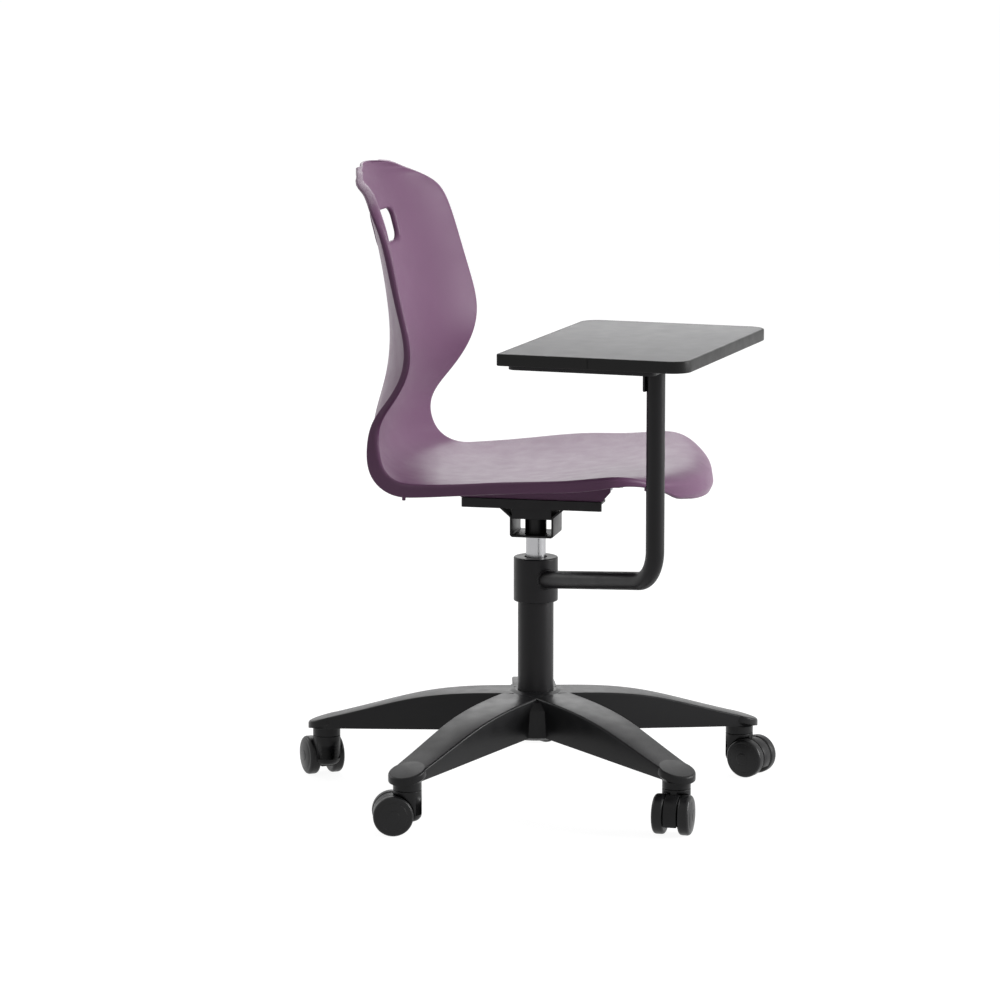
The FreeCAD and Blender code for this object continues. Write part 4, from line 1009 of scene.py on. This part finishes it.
# What carries the seat
@dataclass
class SeatCarrier:
    """The bent bracket, the seat plate, the socket, the gas cylinder and the release lever.

    Attributes:
        bracket_half: half the bracket's length along X.
        bracket_outer: the outer side of its section, in YZ.
        bracket_inner: the inner side of it.
        bracket_rounds: the roundings of both.
        cylinder: the chrome cylinder's radius.
        cylinder_run: the heights of its lower end and of the shoulder below its neck.
        neck: the radius and height of the neck's end.
        valve_hole: the radius of the hole in it, and the heights of its foot and of the bore's end.
        taper: how far the plate's far edge is drawn up at the front.
        edge_deep: how deep that edge is.
    """

    bracket_half: float = 29.5
    bracket_outer: tuple[tuple[float, float], ...] = ((31, 365), (31, 393), (52, 411), (52, 421), (64, 421), (64, 424))
    bracket_inner: tuple[tuple[float, float], ...] = ((49, 424), (49, 412.5), (28, 394.5), (28, 368))
    bracket_rounds: tuple[float, ...] = (4, 3, 3, 0.8, 0.6, 1.2, 3, 3, 3, 1.2)
    cylinder: float = 14.0
    cylinder_run: tuple[float, float] = (112.0, 365.0)
    neck: tuple[float, float] = (13.2, 406.0)
    valve_hole: tuple[float, float, float] = (3.3, 391.0, 388.0)
    taper: float = 8.5
    edge_deep: float = 13.0

    def bracket(self) -> Skin:
        """The bracket's sheet section in YZ with its bends rounded, carried along X.

        Returns:
            The skin.
        """
        right = self.bracket_outer + self.bracket_inner
        left = tuple((-y, z) for y, z in reversed(right))
        outline = fillet(right + left, self.bracket_rounds + self.bracket_rounds[::-1], steps=4)
        return prism(outline, -self.bracket_half, self.bracket_half, 0.5, "YZX")

    def gas_cylinder(self) -> Skin:
        """The cylinder's wall: its bore takes the piston, and its neck tapers into the socket.

        Returns:
            The skin.
        """
        bore = (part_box("piston")[1][0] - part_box("piston")[0][0]) / (2 * MM) + 0.1
        low, shoulder = self.cylinder_run
        hole, foot, end = self.valve_hole
        outline = [(bore, low), (self.cylinder, low), (self.cylinder, shoulder), self.neck, (hole, self.neck[1]),
                   (hole, foot), (bore, end)]
        return lathe(fillet(outline, (0.2, 1.0, 0.4, 1.2, 0.3, 0.2, 1.0)), 96, closed=True)

    def draw_up_far_edge(self, plate: bpy.types.Object) -> None:
        """Tapers the plate's far edge towards the front: z' = z + taper x way x depth.

        The way runs from 0 at the lever, and behind it, to 1 at the front, and the depth from 0 at the
        sheet's top to 1 at the edge's foot.

        Args:
            plate: the dressed plate.
        """
        low, high = np.array(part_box("seat_plate"))
        places = np.empty(len(plate.data.vertices) * 3)
        plate.data.vertices.foreach_get("co", places)
        places = places.reshape(-1, 3)
        way = np.clip(places[:, 1] / low[1], 0, 1) * (places[:, 0] > high[0] / 2)
        foot = high[2] - self.edge_deep * MM
        depth = np.clip((high[2] - places[:, 2]) / (high[2] - foot), 0, 1) * (places[:, 2] > foot - MM)
        places[:, 2] += self.taper * MM * way * depth
        plate.data.vertices.foreach_set("co", places.ravel())

    def build(self, shop: Workshop) -> None:
        """Makes the bracket and the cylinder, and softens the carried shapes round them.

        Args:
            shop: what makes and dresses the pieces.
        """
        shop.piece("lift_bracket_bent", self.bracket(), PAINT, "seat", ["lift_bracket"])
        shop.piece("gas_cylinder_chrome", self.gas_cylinder(), CHROME, "seat", ["gas_cylinder"])
        self.draw_up_far_edge(shop.softened("seat_plate", "seat", 0.7))
        for node, body, edge in (("taper_socket", "seat", 0.6), ("release_lever", "lever", 0.3),
                                 ("lever_grip", "lever", 0.5)):
            shop.softened(node, body, edge)


# Column and arm
@dataclass
class TabletArm:
    """The column tube, the collar that turns on it, the bent arm tube and the tablet.

    Attributes:
        turned: the arm's turn about the column at rest, in degrees.
        post: the post's place in the arm's own axes.
        start: the height at which the tube leaves the collar's axis.
        rise: how far it rises on its way out.
        bend: the radius of its bend.
        radius: the tube's radius.
        collar: the collar's radius.
        sunk: how far inside the collar's skin the tube starts.
        beads: the radius and the ripples of the weld at the collar and of the one at the plate.
        column_section: the column tube's section, radius and height.
        column_rounds: its roundings.
        collar_section: the collar's section.
        collar_rounds: its roundings.
        low: the board's underside.
        top: its top.
        area: the board's lowest and highest corner.
        corner: the radius of its round corners.
        sharp: that of the outer rear corner.
        band: the edge band's thickness.
        band_rounds: the roundings of its section, from the outer lower edge round to the outer upper one.
        proud: how far the band stands past the board's two faces.
        gap: the play between the board and the band.
        groove: place along the outer side and depth of the fine groove where the band's ends meet.
        plate: the steel plate's thickness.
        plate_area: its left, front, right and rear.
        plate_corner: the radius of its corners.
        tab: left, right and foot of the tab that lies against the post.
        tab_sheet: the tab's two faces along Y.
        drawn: how much further the board's inner front and outer rear corners reach along Y.
        joint: where the band's two ends meet, along the outer side.
    """

    turned: float = -6.3
    post: tuple[float, float] = (-211.0, -237.5)
    start: float = 301.0
    rise: float = 49.0
    bend: float = 48.0
    radius: float = 12.5
    collar: float = 31.0
    sunk: float = 4.0
    beads: tuple[tuple[float, int], tuple[float, int]] = ((2.0, 34), (1.7, 28))
    column_section: tuple[tuple[float, float], ...] = (
        (20, 82), (23.8, 82), (25, 145), (25, 328), (22.5, 328), (22.5, 145), (21.3, 86), (20, 86))
    column_rounds: tuple[float, ...] = (0.2, 0.6, 0.5, 0.8, 0.4, 0.5, 0.3, 0.2)
    collar_section: tuple[tuple[float, float], ...] = (
        (27, 272), (31, 272), (31, 334), (15.75, 334), (15.75, 331.3), (27, 331.3))
    collar_rounds: tuple[float, ...] = (0.4, 1.2, 2.2, 0.6, 0.5, 0.3)
    low: float = 645.0
    top: float = 661.0
    area: tuple[float, float, float, float] = (-310.0, -308.0, 72.0, -49.0)
    corner: float = 26.0
    sharp: float = 4.0
    band: float = 3.0
    band_rounds: tuple[float, ...] = (1.6, 0.2, 0.2, 1.8)
    proud: float = 0.1
    gap: float = 0.02
    groove: tuple[tuple[float, float], ...] = ((1.2, 0), (0.5, 0), (0.25, 0.25), (0, 0.6), (-0.25, 0.25), (-0.5, 0),
                                               (-1.2, 0))
    plate: float = 6.0
    plate_area: tuple[float, float, float, float] = (-301.0, -261.5, -123.0, -58.0)
    plate_corner: float = 12.0
    tab: tuple[float, float, float] = (-221.0, -201.0, 606.0)
    tab_sheet: tuple[float, float] = (-225.0, -222.0)
    drawn: tuple[float, float] = (-6.0, 2.5)
    joint: float = -173.0

    def path(self) -> tuple[np.ndarray, np.ndarray]:
        """The tube's middle line and the normal of its plane: a rising run, the exact arc of the bend, the post.

        Returns:
            The line's points, evenly spaced, and the normal.
        """
        out = np.array([*self.post, 0.0])
        reach = np.linalg.norm(out)
        heights = [(0.0, self.start), (reach, self.start + self.rise), (reach, self.low - self.plate)]
        line = fillet(heights, self.bend, closed=False, steps=28)
        runs = np.concatenate([[0.0], np.cumsum(np.linalg.norm(np.diff(line, axis=0), axis=1))])
        even = np.linspace(0, runs[-1], 140)
        along = np.interp(even, runs, line[:, 0]), np.interp(even, runs, line[:, 1])
        across = np.cross([0.0, 0.0, 1.0], out / reach)
        return along[0][:, None] * out / reach + along[1][:, None] * np.array([0.0, 0.0, 1.0]), across

    def welds(self) -> list[Skin]:
        """The beads where the tube meets the collar and the plate.

        Round the tube, q is the way from its axis to its skin. The collar's bead lies at the length l of
        the axis d where |d l + q| in plan is the collar's radius, from that equation's greater root.

        Returns:
            The bead at the collar and the one at the plate.
        """
        path, across = self.path()
        run = path[1] - path[0]
        run /= np.linalg.norm(run)
        angle = np.linspace(0, 2 * np.pi, 96, endpoint=False)[:, None]
        way = np.cos(angle) * across + np.sin(angle) * np.cross(across, run)
        flat, skin = run[:2], (self.radius * way)[:, :2]
        a, b, c = flat @ flat, skin @ flat, (skin ** 2).sum(axis=1) - self.collar ** 2
        length = (-b + np.sqrt(b * b - a * c)) / a
        line = path[0] + length[:, None] * run + self.radius * way
        first = bead(line, way, np.broadcast_to(run, line.shape), *self.beads[0])
        way = np.concatenate([np.cos(angle), np.sin(angle), 0 * angle], axis=1)
        ring = np.array([*self.post, self.low - self.plate - 0.4]) + self.radius * way
        return [first, bead(ring, way, np.broadcast_to([0.0, 0.0, 1.0], ring.shape), *self.beads[1])]

    def board_outline(self) -> np.ndarray:
        """The board's outline, counter-clockwise from the outer front corner.

        Returns:
            The outline's points.
        """
        left, front, right, rear = self.area
        corners = [(left, front), (right, front + self.drawn[0]), (right, rear), (left, rear + self.drawn[1])]
        return fillet(corners, (self.corner, self.corner, self.corner, self.sharp), steps=14)

    def edge_band(self) -> Skin:
        """The band: a soft-edged section, set in from the outline, with a fine groove where its ends meet.

        Returns:
            The skin.
        """
        outline = self.board_outline()
        along, depth = np.array(self.groove, float).T
        groove = np.concatenate([np.zeros(len(outline)), depth])
        outline = np.concatenate([outline, np.column_stack([np.full(len(along), self.area[0]), self.joint + along])])
        low, high = self.low - self.proud, self.top + self.proud
        section = fillet([(0, low), (self.band, low), (self.band, high), (0, high)], self.band_rounds, steps=5)
        rows = [np.column_stack([inset(outline, deep + groove * (deep < 0.8)), np.full(len(outline), height)])
                for deep, height in section]
        return grid(np.stack(rows), around=True, along=True)

    def steel_plate(self) -> Skin:
        """The plate under the board with its rounded corners, and the tab that lies against the post.

        Returns:
            The skin.
        """
        left, front, right, rear = self.plate_area
        outline = fillet([(left, front), (right, front), (right, rear), (left, rear)], self.plate_corner, steps=8)
        left, right, foot = self.tab
        tab = fillet([(left, self.low - 1), (left, foot), (right, foot), (right, self.low - 1)], (0, 3, 3, 0), steps=4)
        return joined([prism(outline, self.low - self.plate, self.low, 0.5), prism(tab, *self.tab_sheet, 0.4, "XZY")])

    def build(self, shop: Workshop) -> None:
        """Makes the column, the collar, the arm and the tablet.

        Args:
            shop: what makes and dresses the pieces.
        """
        column = fillet(self.column_section, self.column_rounds, steps=3)
        shop.piece("column_tube_painted", lathe(column, 96, True), PAINT, "base", ["column_tube"])
        ring = fillet(self.collar_section, self.collar_rounds, steps=6)
        shop.piece("arm_collar_turned", lathe(ring, 96, True), PAINT, "arm", ["arm_collar"])
        path, across = self.path()
        keep = np.linalg.norm(path[:, :2], axis=1) > self.collar - self.sunk
        arm = joined([tube(path[keep], self.radius, across)] + self.welds())
        shop.piece("arm_tube_bent", arm.turned(self.turned), PAINT, "arm", ["arm_tube"])
        board = prism(inset(self.board_outline(), self.band + self.gap), self.low, self.top, 0.25)
        shop.piece("tablet_board_laminated", board.turned(self.turned), LAMINATE, "arm", ["tablet_board"])
        shop.piece("tablet_band_moulded", self.edge_band().turned(self.turned), EDGING, "arm", ["tablet_edge_band"])
        steel = self.steel_plate().turned(self.turned)
        shop.piece("tablet_plate_pressed", steel, PAINT, "arm", ["tablet_plate"])


# Base and castors
@dataclass
class StarBase:
    """The five-legged moulding: hub, flat-topped hollow legs and castor bosses.

    Attributes:
        first: the first leg's bearing in degrees.
        legs: how many legs there are.
        reach: the castor's distance from the column.
        sizes: reach, width, top and bottom of the leg at its four stations.
        draft: how much narrower each side is at the bottom.
        wall: the leg's wall.
        crisp: the rounding of the leg's top edges.
        spine: the reach of the long rib's two ends.
        cross_ribs: the reach of each rib across the leg.
        rib_wall: the ribs' thickness.
        rib_inset: how far inside the leg's sides a cross rib's foot and top stand.
        tip_section: the section of the end over the castor, radius and height.
        tip_rounds: its roundings.
        hub_section: the hub's section.
        hub_rounds: its roundings.
        fall: how steeply the lip over the castor falls outwards.
        flare: the height at which that fall starts and the height over which it fades in.
        bore: the radius round the stem that keeps its shape.
    """

    first: float = 14.0
    legs: int = 5
    reach: float = 310.0
    sizes: tuple[tuple[float, ...], ...] = ((24, 62, 143, 89), (165, 57, 128, 81.5), (255, 51, 103, 76),
                                            (310, 48, 87, 73))
    draft: float = 2.5
    wall: float = 4.0
    crisp: float = 2.6
    spine: tuple[float, float] = (36.0, 292.0)
    cross_ribs: tuple[float, ...] = (125.0, 165.0, 205.0, 255.0)
    rib_wall: float = 3.0
    rib_inset: tuple[float, float] = (3.5, 2.0)
    tip_section: tuple[tuple[float, float], ...] = (
        (0, 84.4), (5.6, 84.4), (5.6, 60), (19.5, 60), (19.5, 71), (26, 77), (26, 87.05), (0, 87.05))
    tip_rounds: tuple[float, ...] = (0, 0.2, 0.5, 0.9, 3.0, 1.5, 3.0, 0)
    hub_section: tuple[tuple[float, float], ...] = (
        (24.0, 80), (40, 79), (50, 85), (66, 87), (66, 126), (58, 138), (40, 141), (29, 145), (25.05, 145))
    hub_rounds: tuple[float, ...] = (0.4, 1.0, 2.0, 3.0, 6.0, 4.0, 1.6, 1.2, 0.4)
    fall: float = 0.287
    flare: tuple[float, float] = (70.0, 7.0)
    bore: float = 6.0

    def bearing(self, number: int) -> float:
        """A leg's bearing in degrees, with the legs counted from 0."""
        return self.first + 360 / self.legs * number

    def leg(self) -> Skin:
        """One leg along +X: an open-bottomed section whose width, top and bottom follow splines along its reach.

        Returns:
            The skin.
        """
        rows = np.array(self.sizes, float)
        reach = np.linspace(rows[0, 0], rows[-1, 0], 60)
        size = spline(rows[:, 0], rows[:, 1:], reach)
        half, top, bottom = size[:, :1] / 2, size[:, 1:2], size[:, 2:3]
        angle = np.linspace(0, np.pi / 2, 4)
        corner_in, corner_down = self.crisp * (1 - np.cos(angle)), self.crisp * (1 - np.sin(angle))
        set_in = np.concatenate([[self.draft], corner_in, corner_in[::-1], [self.draft],
                                 [self.draft + self.wall, self.wall, self.wall, self.draft + self.wall]])
        drop = np.concatenate([[0], corner_down, corner_down[::-1], [0], [0, self.wall, self.wall, 0]])
        side = np.array([-1] * 5 + [1] * 5 + [1, 1, -1, -1])
        upper = np.array([0] + [1] * 8 + [0] + [0, 1, 1, 0])
        y = side * (half - set_in)
        z = np.where(upper == 1, top - drop, bottom + drop)
        points = np.stack([np.broadcast_to(reach[:, None], y.shape), y, z], axis=-1)
        return grid(points, around=True)

    def stiffeners(self) -> Skin:
        """The ribs inside the leg: one along it and four across.

        Returns:
            The skin.
        """
        rows, half = np.array(self.sizes, float), self.rib_wall / 2
        reach = np.linspace(*self.spine, 24)
        size = spline(rows[:, 0], rows[:, 1:], reach)
        outline = np.concatenate([np.column_stack([reach, size[:, 2] + 1]),
                                  np.column_stack([reach, size[:, 1] - 2])[::-1]])
        parts = [prism(outline, -half, half, 0.0, "XZY")]
        for place in self.cross_ribs:
            width, top, bottom = spline(rows[:, 0], rows[:, 1:], np.array([place]))[0]
            foot, head = (width / 2 - inwards for inwards in self.rib_inset)
            across = np.array([(-foot, bottom + 1), (foot, bottom + 1), (head, top - 2), (-head, top - 2)])
            parts.append(prism(across, place - half, place + half, 0.0, "YZX"))
        return joined(parts)

    def tip(self) -> Skin:
        """The lipped end over the castor, with the stem's bore, turned about the castor's axis.

        From the boss upwards it is sheared into the leg's slope: z' = z - fall x, fading in over the flare.

        Returns:
            The skin.
        """
        tip = lathe(fillet(self.tip_section, self.tip_rounds, closed=False))
        x, y, z = tip.points.T
        start, height = self.flare
        tip.points[:, 2] = z - self.fall * x * (np.clip((z - start) / height, 0, 1) * (np.hypot(x, y) > self.bore))
        return tip.moved((self.reach, 0, 0))

    def hub(self) -> Skin:
        """The hub's ring with its crown, bored for the column, and the barrel that shows between the legs."""
        return lathe(fillet(self.hub_section, self.hub_rounds, steps=5), 96, closed=True)

    def build(self, shop: Workshop) -> None:
        """Makes the one moulding.

        Args:
            shop: what makes and dresses the pieces.
        """
        spoke = joined([self.leg(), self.stiffeners(), self.tip()])
        turns = [spoke.turned(self.bearing(number)) for number in range(self.legs)]
        shop.piece("star_base_moulding", joined([self.hub()] + turns), BASE, "base", ["star_base"])


@dataclass
class Castor:
    """One twin-wheel castor.

    Attributes:
        number: which castor it is, from 1.
        base: the base that it stands under.
        trail: the turn of its trail from the leg, in degrees.
        offset: how far the axle trails the stem.
        radius: the wheel's radius.
        inner: the wheel's inner face, from the middle.
        hood: the half width, radius and lowest point of the hood between the wheels.
        outer: the peak of the wheel's outer face, from the middle.
        dome: how far that face is domed.
        shoulder: how much smaller the face is than the tread, in radius.
        cap_line: the radii of the line round the hub cap.
        rim_line: the radii of the line near the rim.
        line_depths: the depths of those two lines, and how far the cap stands out.
        tread_rounds: the roundings of the tread towards the outer and the inner face.
        axle_hole: the radius of the hole for the axle, and how far from the middle it ends.
        collar: the inner and outer radius of the collar over the stem, and its foot and top.
    """

    number: int
    base: StarBase
    trail: float = -52.0
    offset: float = 20.0
    radius: float = 27.5
    inner: float = 9.8
    hood: tuple[float, float, float] = (9.3, 26.6, 14.0)
    outer: float = 28.9
    dome: float = 3.0
    shoulder: float = 5.0
    cap_line: tuple[float, ...] = (8.3, 8.6, 8.9)
    rim_line: tuple[float, ...] = (18.9, 19.2, 19.6, 19.9)
    line_depths: tuple[float, float, float] = (0.2, 0.25, 0.15)
    tread_rounds: tuple[float, float] = (4.9, 4.4)
    axle_hole: tuple[float, float] = (3.1, 22.4)
    collar: tuple[float, float, float, float] = (9.0, 19.5, 57.0, 59.8)

    def wheel(self) -> Skin:
        """One wheel round the vertical axis: rounded tread, domed face with a hub cap line and a rim line.

        The face is part of a ball: its height is outer - ball + sqrt(ball^2 - r^2), and the ball's radius is
        (face^2 + dome^2) / (2 dome), so the face falls by the dome on its way to the shoulder.

        Returns:
            The skin.
        """
        face = self.radius - self.shoulder
        ball = (face ** 2 + self.dome ** 2) / (2 * self.dome)
        radius = np.concatenate([np.linspace(0, 8.0, 6), self.cap_line, np.linspace(9.4, 18.6, 8),
                                 self.rim_line, np.linspace(20.4, face, 4)])
        cap_deep, rim_deep, cap_out = self.line_depths
        height = self.outer - ball + np.sqrt(ball ** 2 - radius ** 2)
        height = height - cap_deep * np.isin(radius, self.cap_line[1:-1]) + cap_out * (radius < self.cap_line[0])
        height = height - rim_deep * np.isin(radius, self.rim_line[1:-1])
        hole, end = self.axle_hole
        side = self.outer - self.dome
        rim = fillet([(face, side), (self.radius, side), (self.radius, self.inner), (hole, self.inner), (hole, end),
                      (0, end)], (0, *self.tread_rounds, 0.3, 0, 0), closed=False, steps=8)
        return lathe(np.concatenate([np.column_stack([radius, height]), rim[1:]]), 80)

    def at_leg(self, skin: Skin) -> Skin:
        """A skin turned by the trail and moved to its leg.

        Args:
            skin: the skin round its own stem.

        Returns:
            The skin in its place.
        """
        bearing = self.base.bearing(self.number - 1)
        angle = np.radians(bearing)
        shift = (self.base.reach * np.cos(angle), self.base.reach * np.sin(angle), 0.0)
        return skin.turned(bearing + self.trail, shift)

    def placed(self, skin: Skin, side: int) -> Skin:
        """A wheel laid on the axle on one side, at its leg."""
        points = laid(skin.points, "ZXY") * np.array([1.0, side, 1.0]) + np.array([self.offset, 0, self.radius])
        return self.at_leg(Skin(points, skin.faces))

    def hood_between(self) -> Skin:
        """The hood that fills the space between the wheels down to its flat foot, and the collar over the stem.

        The hood is a disc round the axle, x = offset + r cos a and z = wheel + r sin a, cut off level at its
        lowest point, where sin a = -(wheel - low) / r.

        Returns:
            The skin.
        """
        half, radius, low = self.hood
        foot = np.arcsin((self.radius - low) / radius)
        angle = np.linspace(-foot, np.pi + foot, 48)
        outline = np.column_stack([self.offset + radius * np.cos(angle), self.radius + radius * np.sin(angle)])
        bore, out, foot, top = self.collar
        section = fillet([(bore, foot), (out, foot), (out, top), (bore, top)], (0, 0, 0.8, 0), steps=4)
        return joined([prism(outline, -half, half, 1.2, "XZY"), lathe(section, 64, closed=True)])

    def build(self, shop: Workshop) -> None:
        """Makes the two wheels and the hood, and softens the housing.

        Args:
            shop: what makes and dresses the pieces.
        """
        wheel = self.wheel()
        for hand, side in (("left", 1), ("right", -1)):
            name = f"castor_wheel_{hand}_{self.number}"
            shop.piece(name + "_turned", self.placed(wheel, side), WHEEL, f"wheels_{self.number}", [name])
        hood = self.at_leg(self.hood_between())
        shop.piece(f"castor_hood_{self.number}", hood, HOUSING, f"castor_{self.number}")
        shop.softened(f"castor_housing_{self.number}", f"castor_{self.number}", 0.8, self.hood[2])


# Floor, light and camera
@dataclass
class Studio:
    """The pale floor, the soft light and the camera at the photograph's angle.

    Attributes:
        eye: the camera's place in metres.
        heading: its direction in plan, in degrees from +X.
        pitch: how far it looks down, in degrees.
        lens: its focal length in millimetres.
        sensor: the width of its frame in millimetres.
        floor: the floor's half size in metres.
        floor_share: how much light the floor sends back, as the object gets it and as the camera sees it.
        floor_glow: how much light of its own the camera sees besides.
        aim: the place in metres that the lamps face.
        lamps: name, place, width and height, and power of each soft lamp.
        near: the room's brightness behind the camera.
        far: its brightness on the far side.
        turn: the directions along X between which it changes.
    """

    eye: tuple[float, float, float] = (-6.129, -1.303, 1.470)
    heading: float = 12.46
    pitch: float = 9.57
    lens: float = 164.0
    sensor: float = 36.0
    floor: float = 80.0
    floor_share: tuple[float, float] = (0.36, 0.22)
    floor_glow: float = 0.93
    aim: tuple[float, float, float] = (0.0, 0.0, 0.45)
    lamps: tuple[tuple[str, tuple[float, float, float], tuple[float, float], float], ...] = (
        ("lamp_behind", (3.2, 0.7, 2.6), (1.9, 3.6), 26.0),
        ("lamp_above", (0.9, 0.1, 3.6), (2.6, 2.6), 7.0),
        ("lamp_right", (0.6, -3.4, 1.4), (2.0, 2.0), 108.0),
        ("lamp_left", (1.2, 3.4, 2.2), (2.0, 2.0), 24.0))
    near: float = 0.22
    far: float = 0.70
    turn: tuple[float, float] = (-0.25, 0.45)

    def seen(self, graph: Graph) -> bpy.types.NodeSocket:
        """1 for a ray from the camera, and for one that metal, sheen or glass sends on, else 0.

        Args:
            graph: the nodes that it is worked out in.

        Returns:
            The value.
        """
        path = graph.add("ShaderNodeLightPath").outputs
        either = graph.add("ShaderNodeMath", {0: path["Is Camera Ray"], 1: path["Is Glossy Ray"]}, operation="MAXIMUM")
        return graph.add("ShaderNodeMath", {0: either.outputs[0], 1: path["Is Transmission Ray"]},
                         operation="MAXIMUM").outputs[0]

    def room(self, graph: Graph) -> bpy.types.NodeSocket:
        """The room's brightness in each direction: dark behind the camera, white on the far side.

        Args:
            graph: the world's nodes.

        Returns:
            The value.
        """
        way = graph.add("ShaderNodeTexCoord").outputs["Generated"]
        along = graph.add("ShaderNodeSeparateXYZ", {0: way}).outputs["X"]
        return graph.ranged(along, *self.turn, self.near, self.far)

    def lay_floor(self) -> None:
        """The floor: seen white, with the object's shadow left in it."""
        size = self.floor
        mesh = bpy.data.meshes.new("floor")
        mesh.from_pydata([(-size, -size, 0), (size, -size, 0), (size, size, 0), (-size, size, 0)], [], [(0, 1, 2, 3)])
        material = bpy.data.materials.new("floor_white")
        material.use_nodes = True
        graph = Graph(material.node_tree)
        seen = self.seen(graph)
        plain, faint = (graph.add("ShaderNodeBsdfDiffuse", {"Color": (share, share, share, 1.0)}).outputs[0]
                        for share in self.floor_share)
        glow = graph.add("ShaderNodeEmission", {"Color": WHITE, "Strength": self.floor_glow}).outputs[0]
        white = graph.add("ShaderNodeAddShader", {0: faint, 1: glow}).outputs[0]
        mix = graph.add("ShaderNodeMixShader", {0: seen, 1: plain, 2: white}).outputs[0]
        graph.add("ShaderNodeOutputMaterial", {"Surface": mix})
        mesh.materials.append(material)
        floor = bpy.data.objects.new("floor", mesh)
        bpy.context.scene.collection.objects.link(floor)

    def light(self) -> None:
        """The world, seen white and lighting the object mostly from the far side, and the soft lamps."""
        world = bpy.data.worlds.new("studio")
        bpy.context.scene.world = world
        world.use_nodes = True
        graph = Graph(world.node_tree)
        seen = self.seen(graph)
        room = graph.add("ShaderNodeBackground", {"Color": WHITE, "Strength": self.room(graph)}).outputs[0]
        plain = graph.add("ShaderNodeBackground", {"Color": WHITE, "Strength": 1.0}).outputs[0]
        mix = graph.add("ShaderNodeMixShader", {0: seen, 1: room, 2: plain}).outputs[0]
        graph.add("ShaderNodeOutputWorld", {"Surface": mix})
        for name, place, size, power in self.lamps:
            lamp = bpy.data.lights.new(name, "AREA")
            lamp.shape, lamp.energy = "ELLIPSE", power
            lamp.size, lamp.size_y = size
            holder = bpy.data.objects.new(name, lamp)
            holder.location = place
            holder.visible_camera = False
            holder.rotation_euler = (Vector(self.aim) - Vector(place)).to_track_quat("-Z", "Y").to_euler()
            bpy.context.scene.collection.objects.link(holder)

    def camera(self) -> None:
        """The camera, looking level along its heading and then down by its pitch."""
        data = bpy.data.cameras.new("camera")
        data.sensor_fit, data.sensor_width, data.lens = "HORIZONTAL", self.sensor, self.lens
        data.clip_end = 400.0
        holder = bpy.data.objects.new("camera", data)
        heading, pitch = np.radians(self.heading), np.radians(self.pitch)
        look = Vector((np.cos(pitch) * np.cos(heading), np.cos(pitch) * np.sin(heading), -np.sin(pitch)))
        holder.location = self.eye
        holder.rotation_euler = look.to_track_quat("-Z", "Y").to_euler()
        bpy.context.scene.collection.objects.link(holder)
        bpy.context.scene.camera = holder

    def build(self) -> None:
        """Sets the stage and plain colour handling."""
        self.lay_floor()
        self.light()
        self.camera()
        bpy.context.scene.view_settings.view_transform = "Standard"


def main() -> None:
    """Builds the studio and every sub-assembly."""
    logging.basicConfig(level=logging.INFO, format="%(name)s %(message)s")
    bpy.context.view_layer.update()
    Studio().build()
    shop = Workshop()
    shop.dress_nodes()
    base = StarBase()
    for part in (SeatShell(), SeatCarrier(), TabletArm(), base):
        part.build(shop)
    for number in range(1, base.legs + 1):
        Castor(number, base).build(shop)


if __name__ == "__main__":
    main()
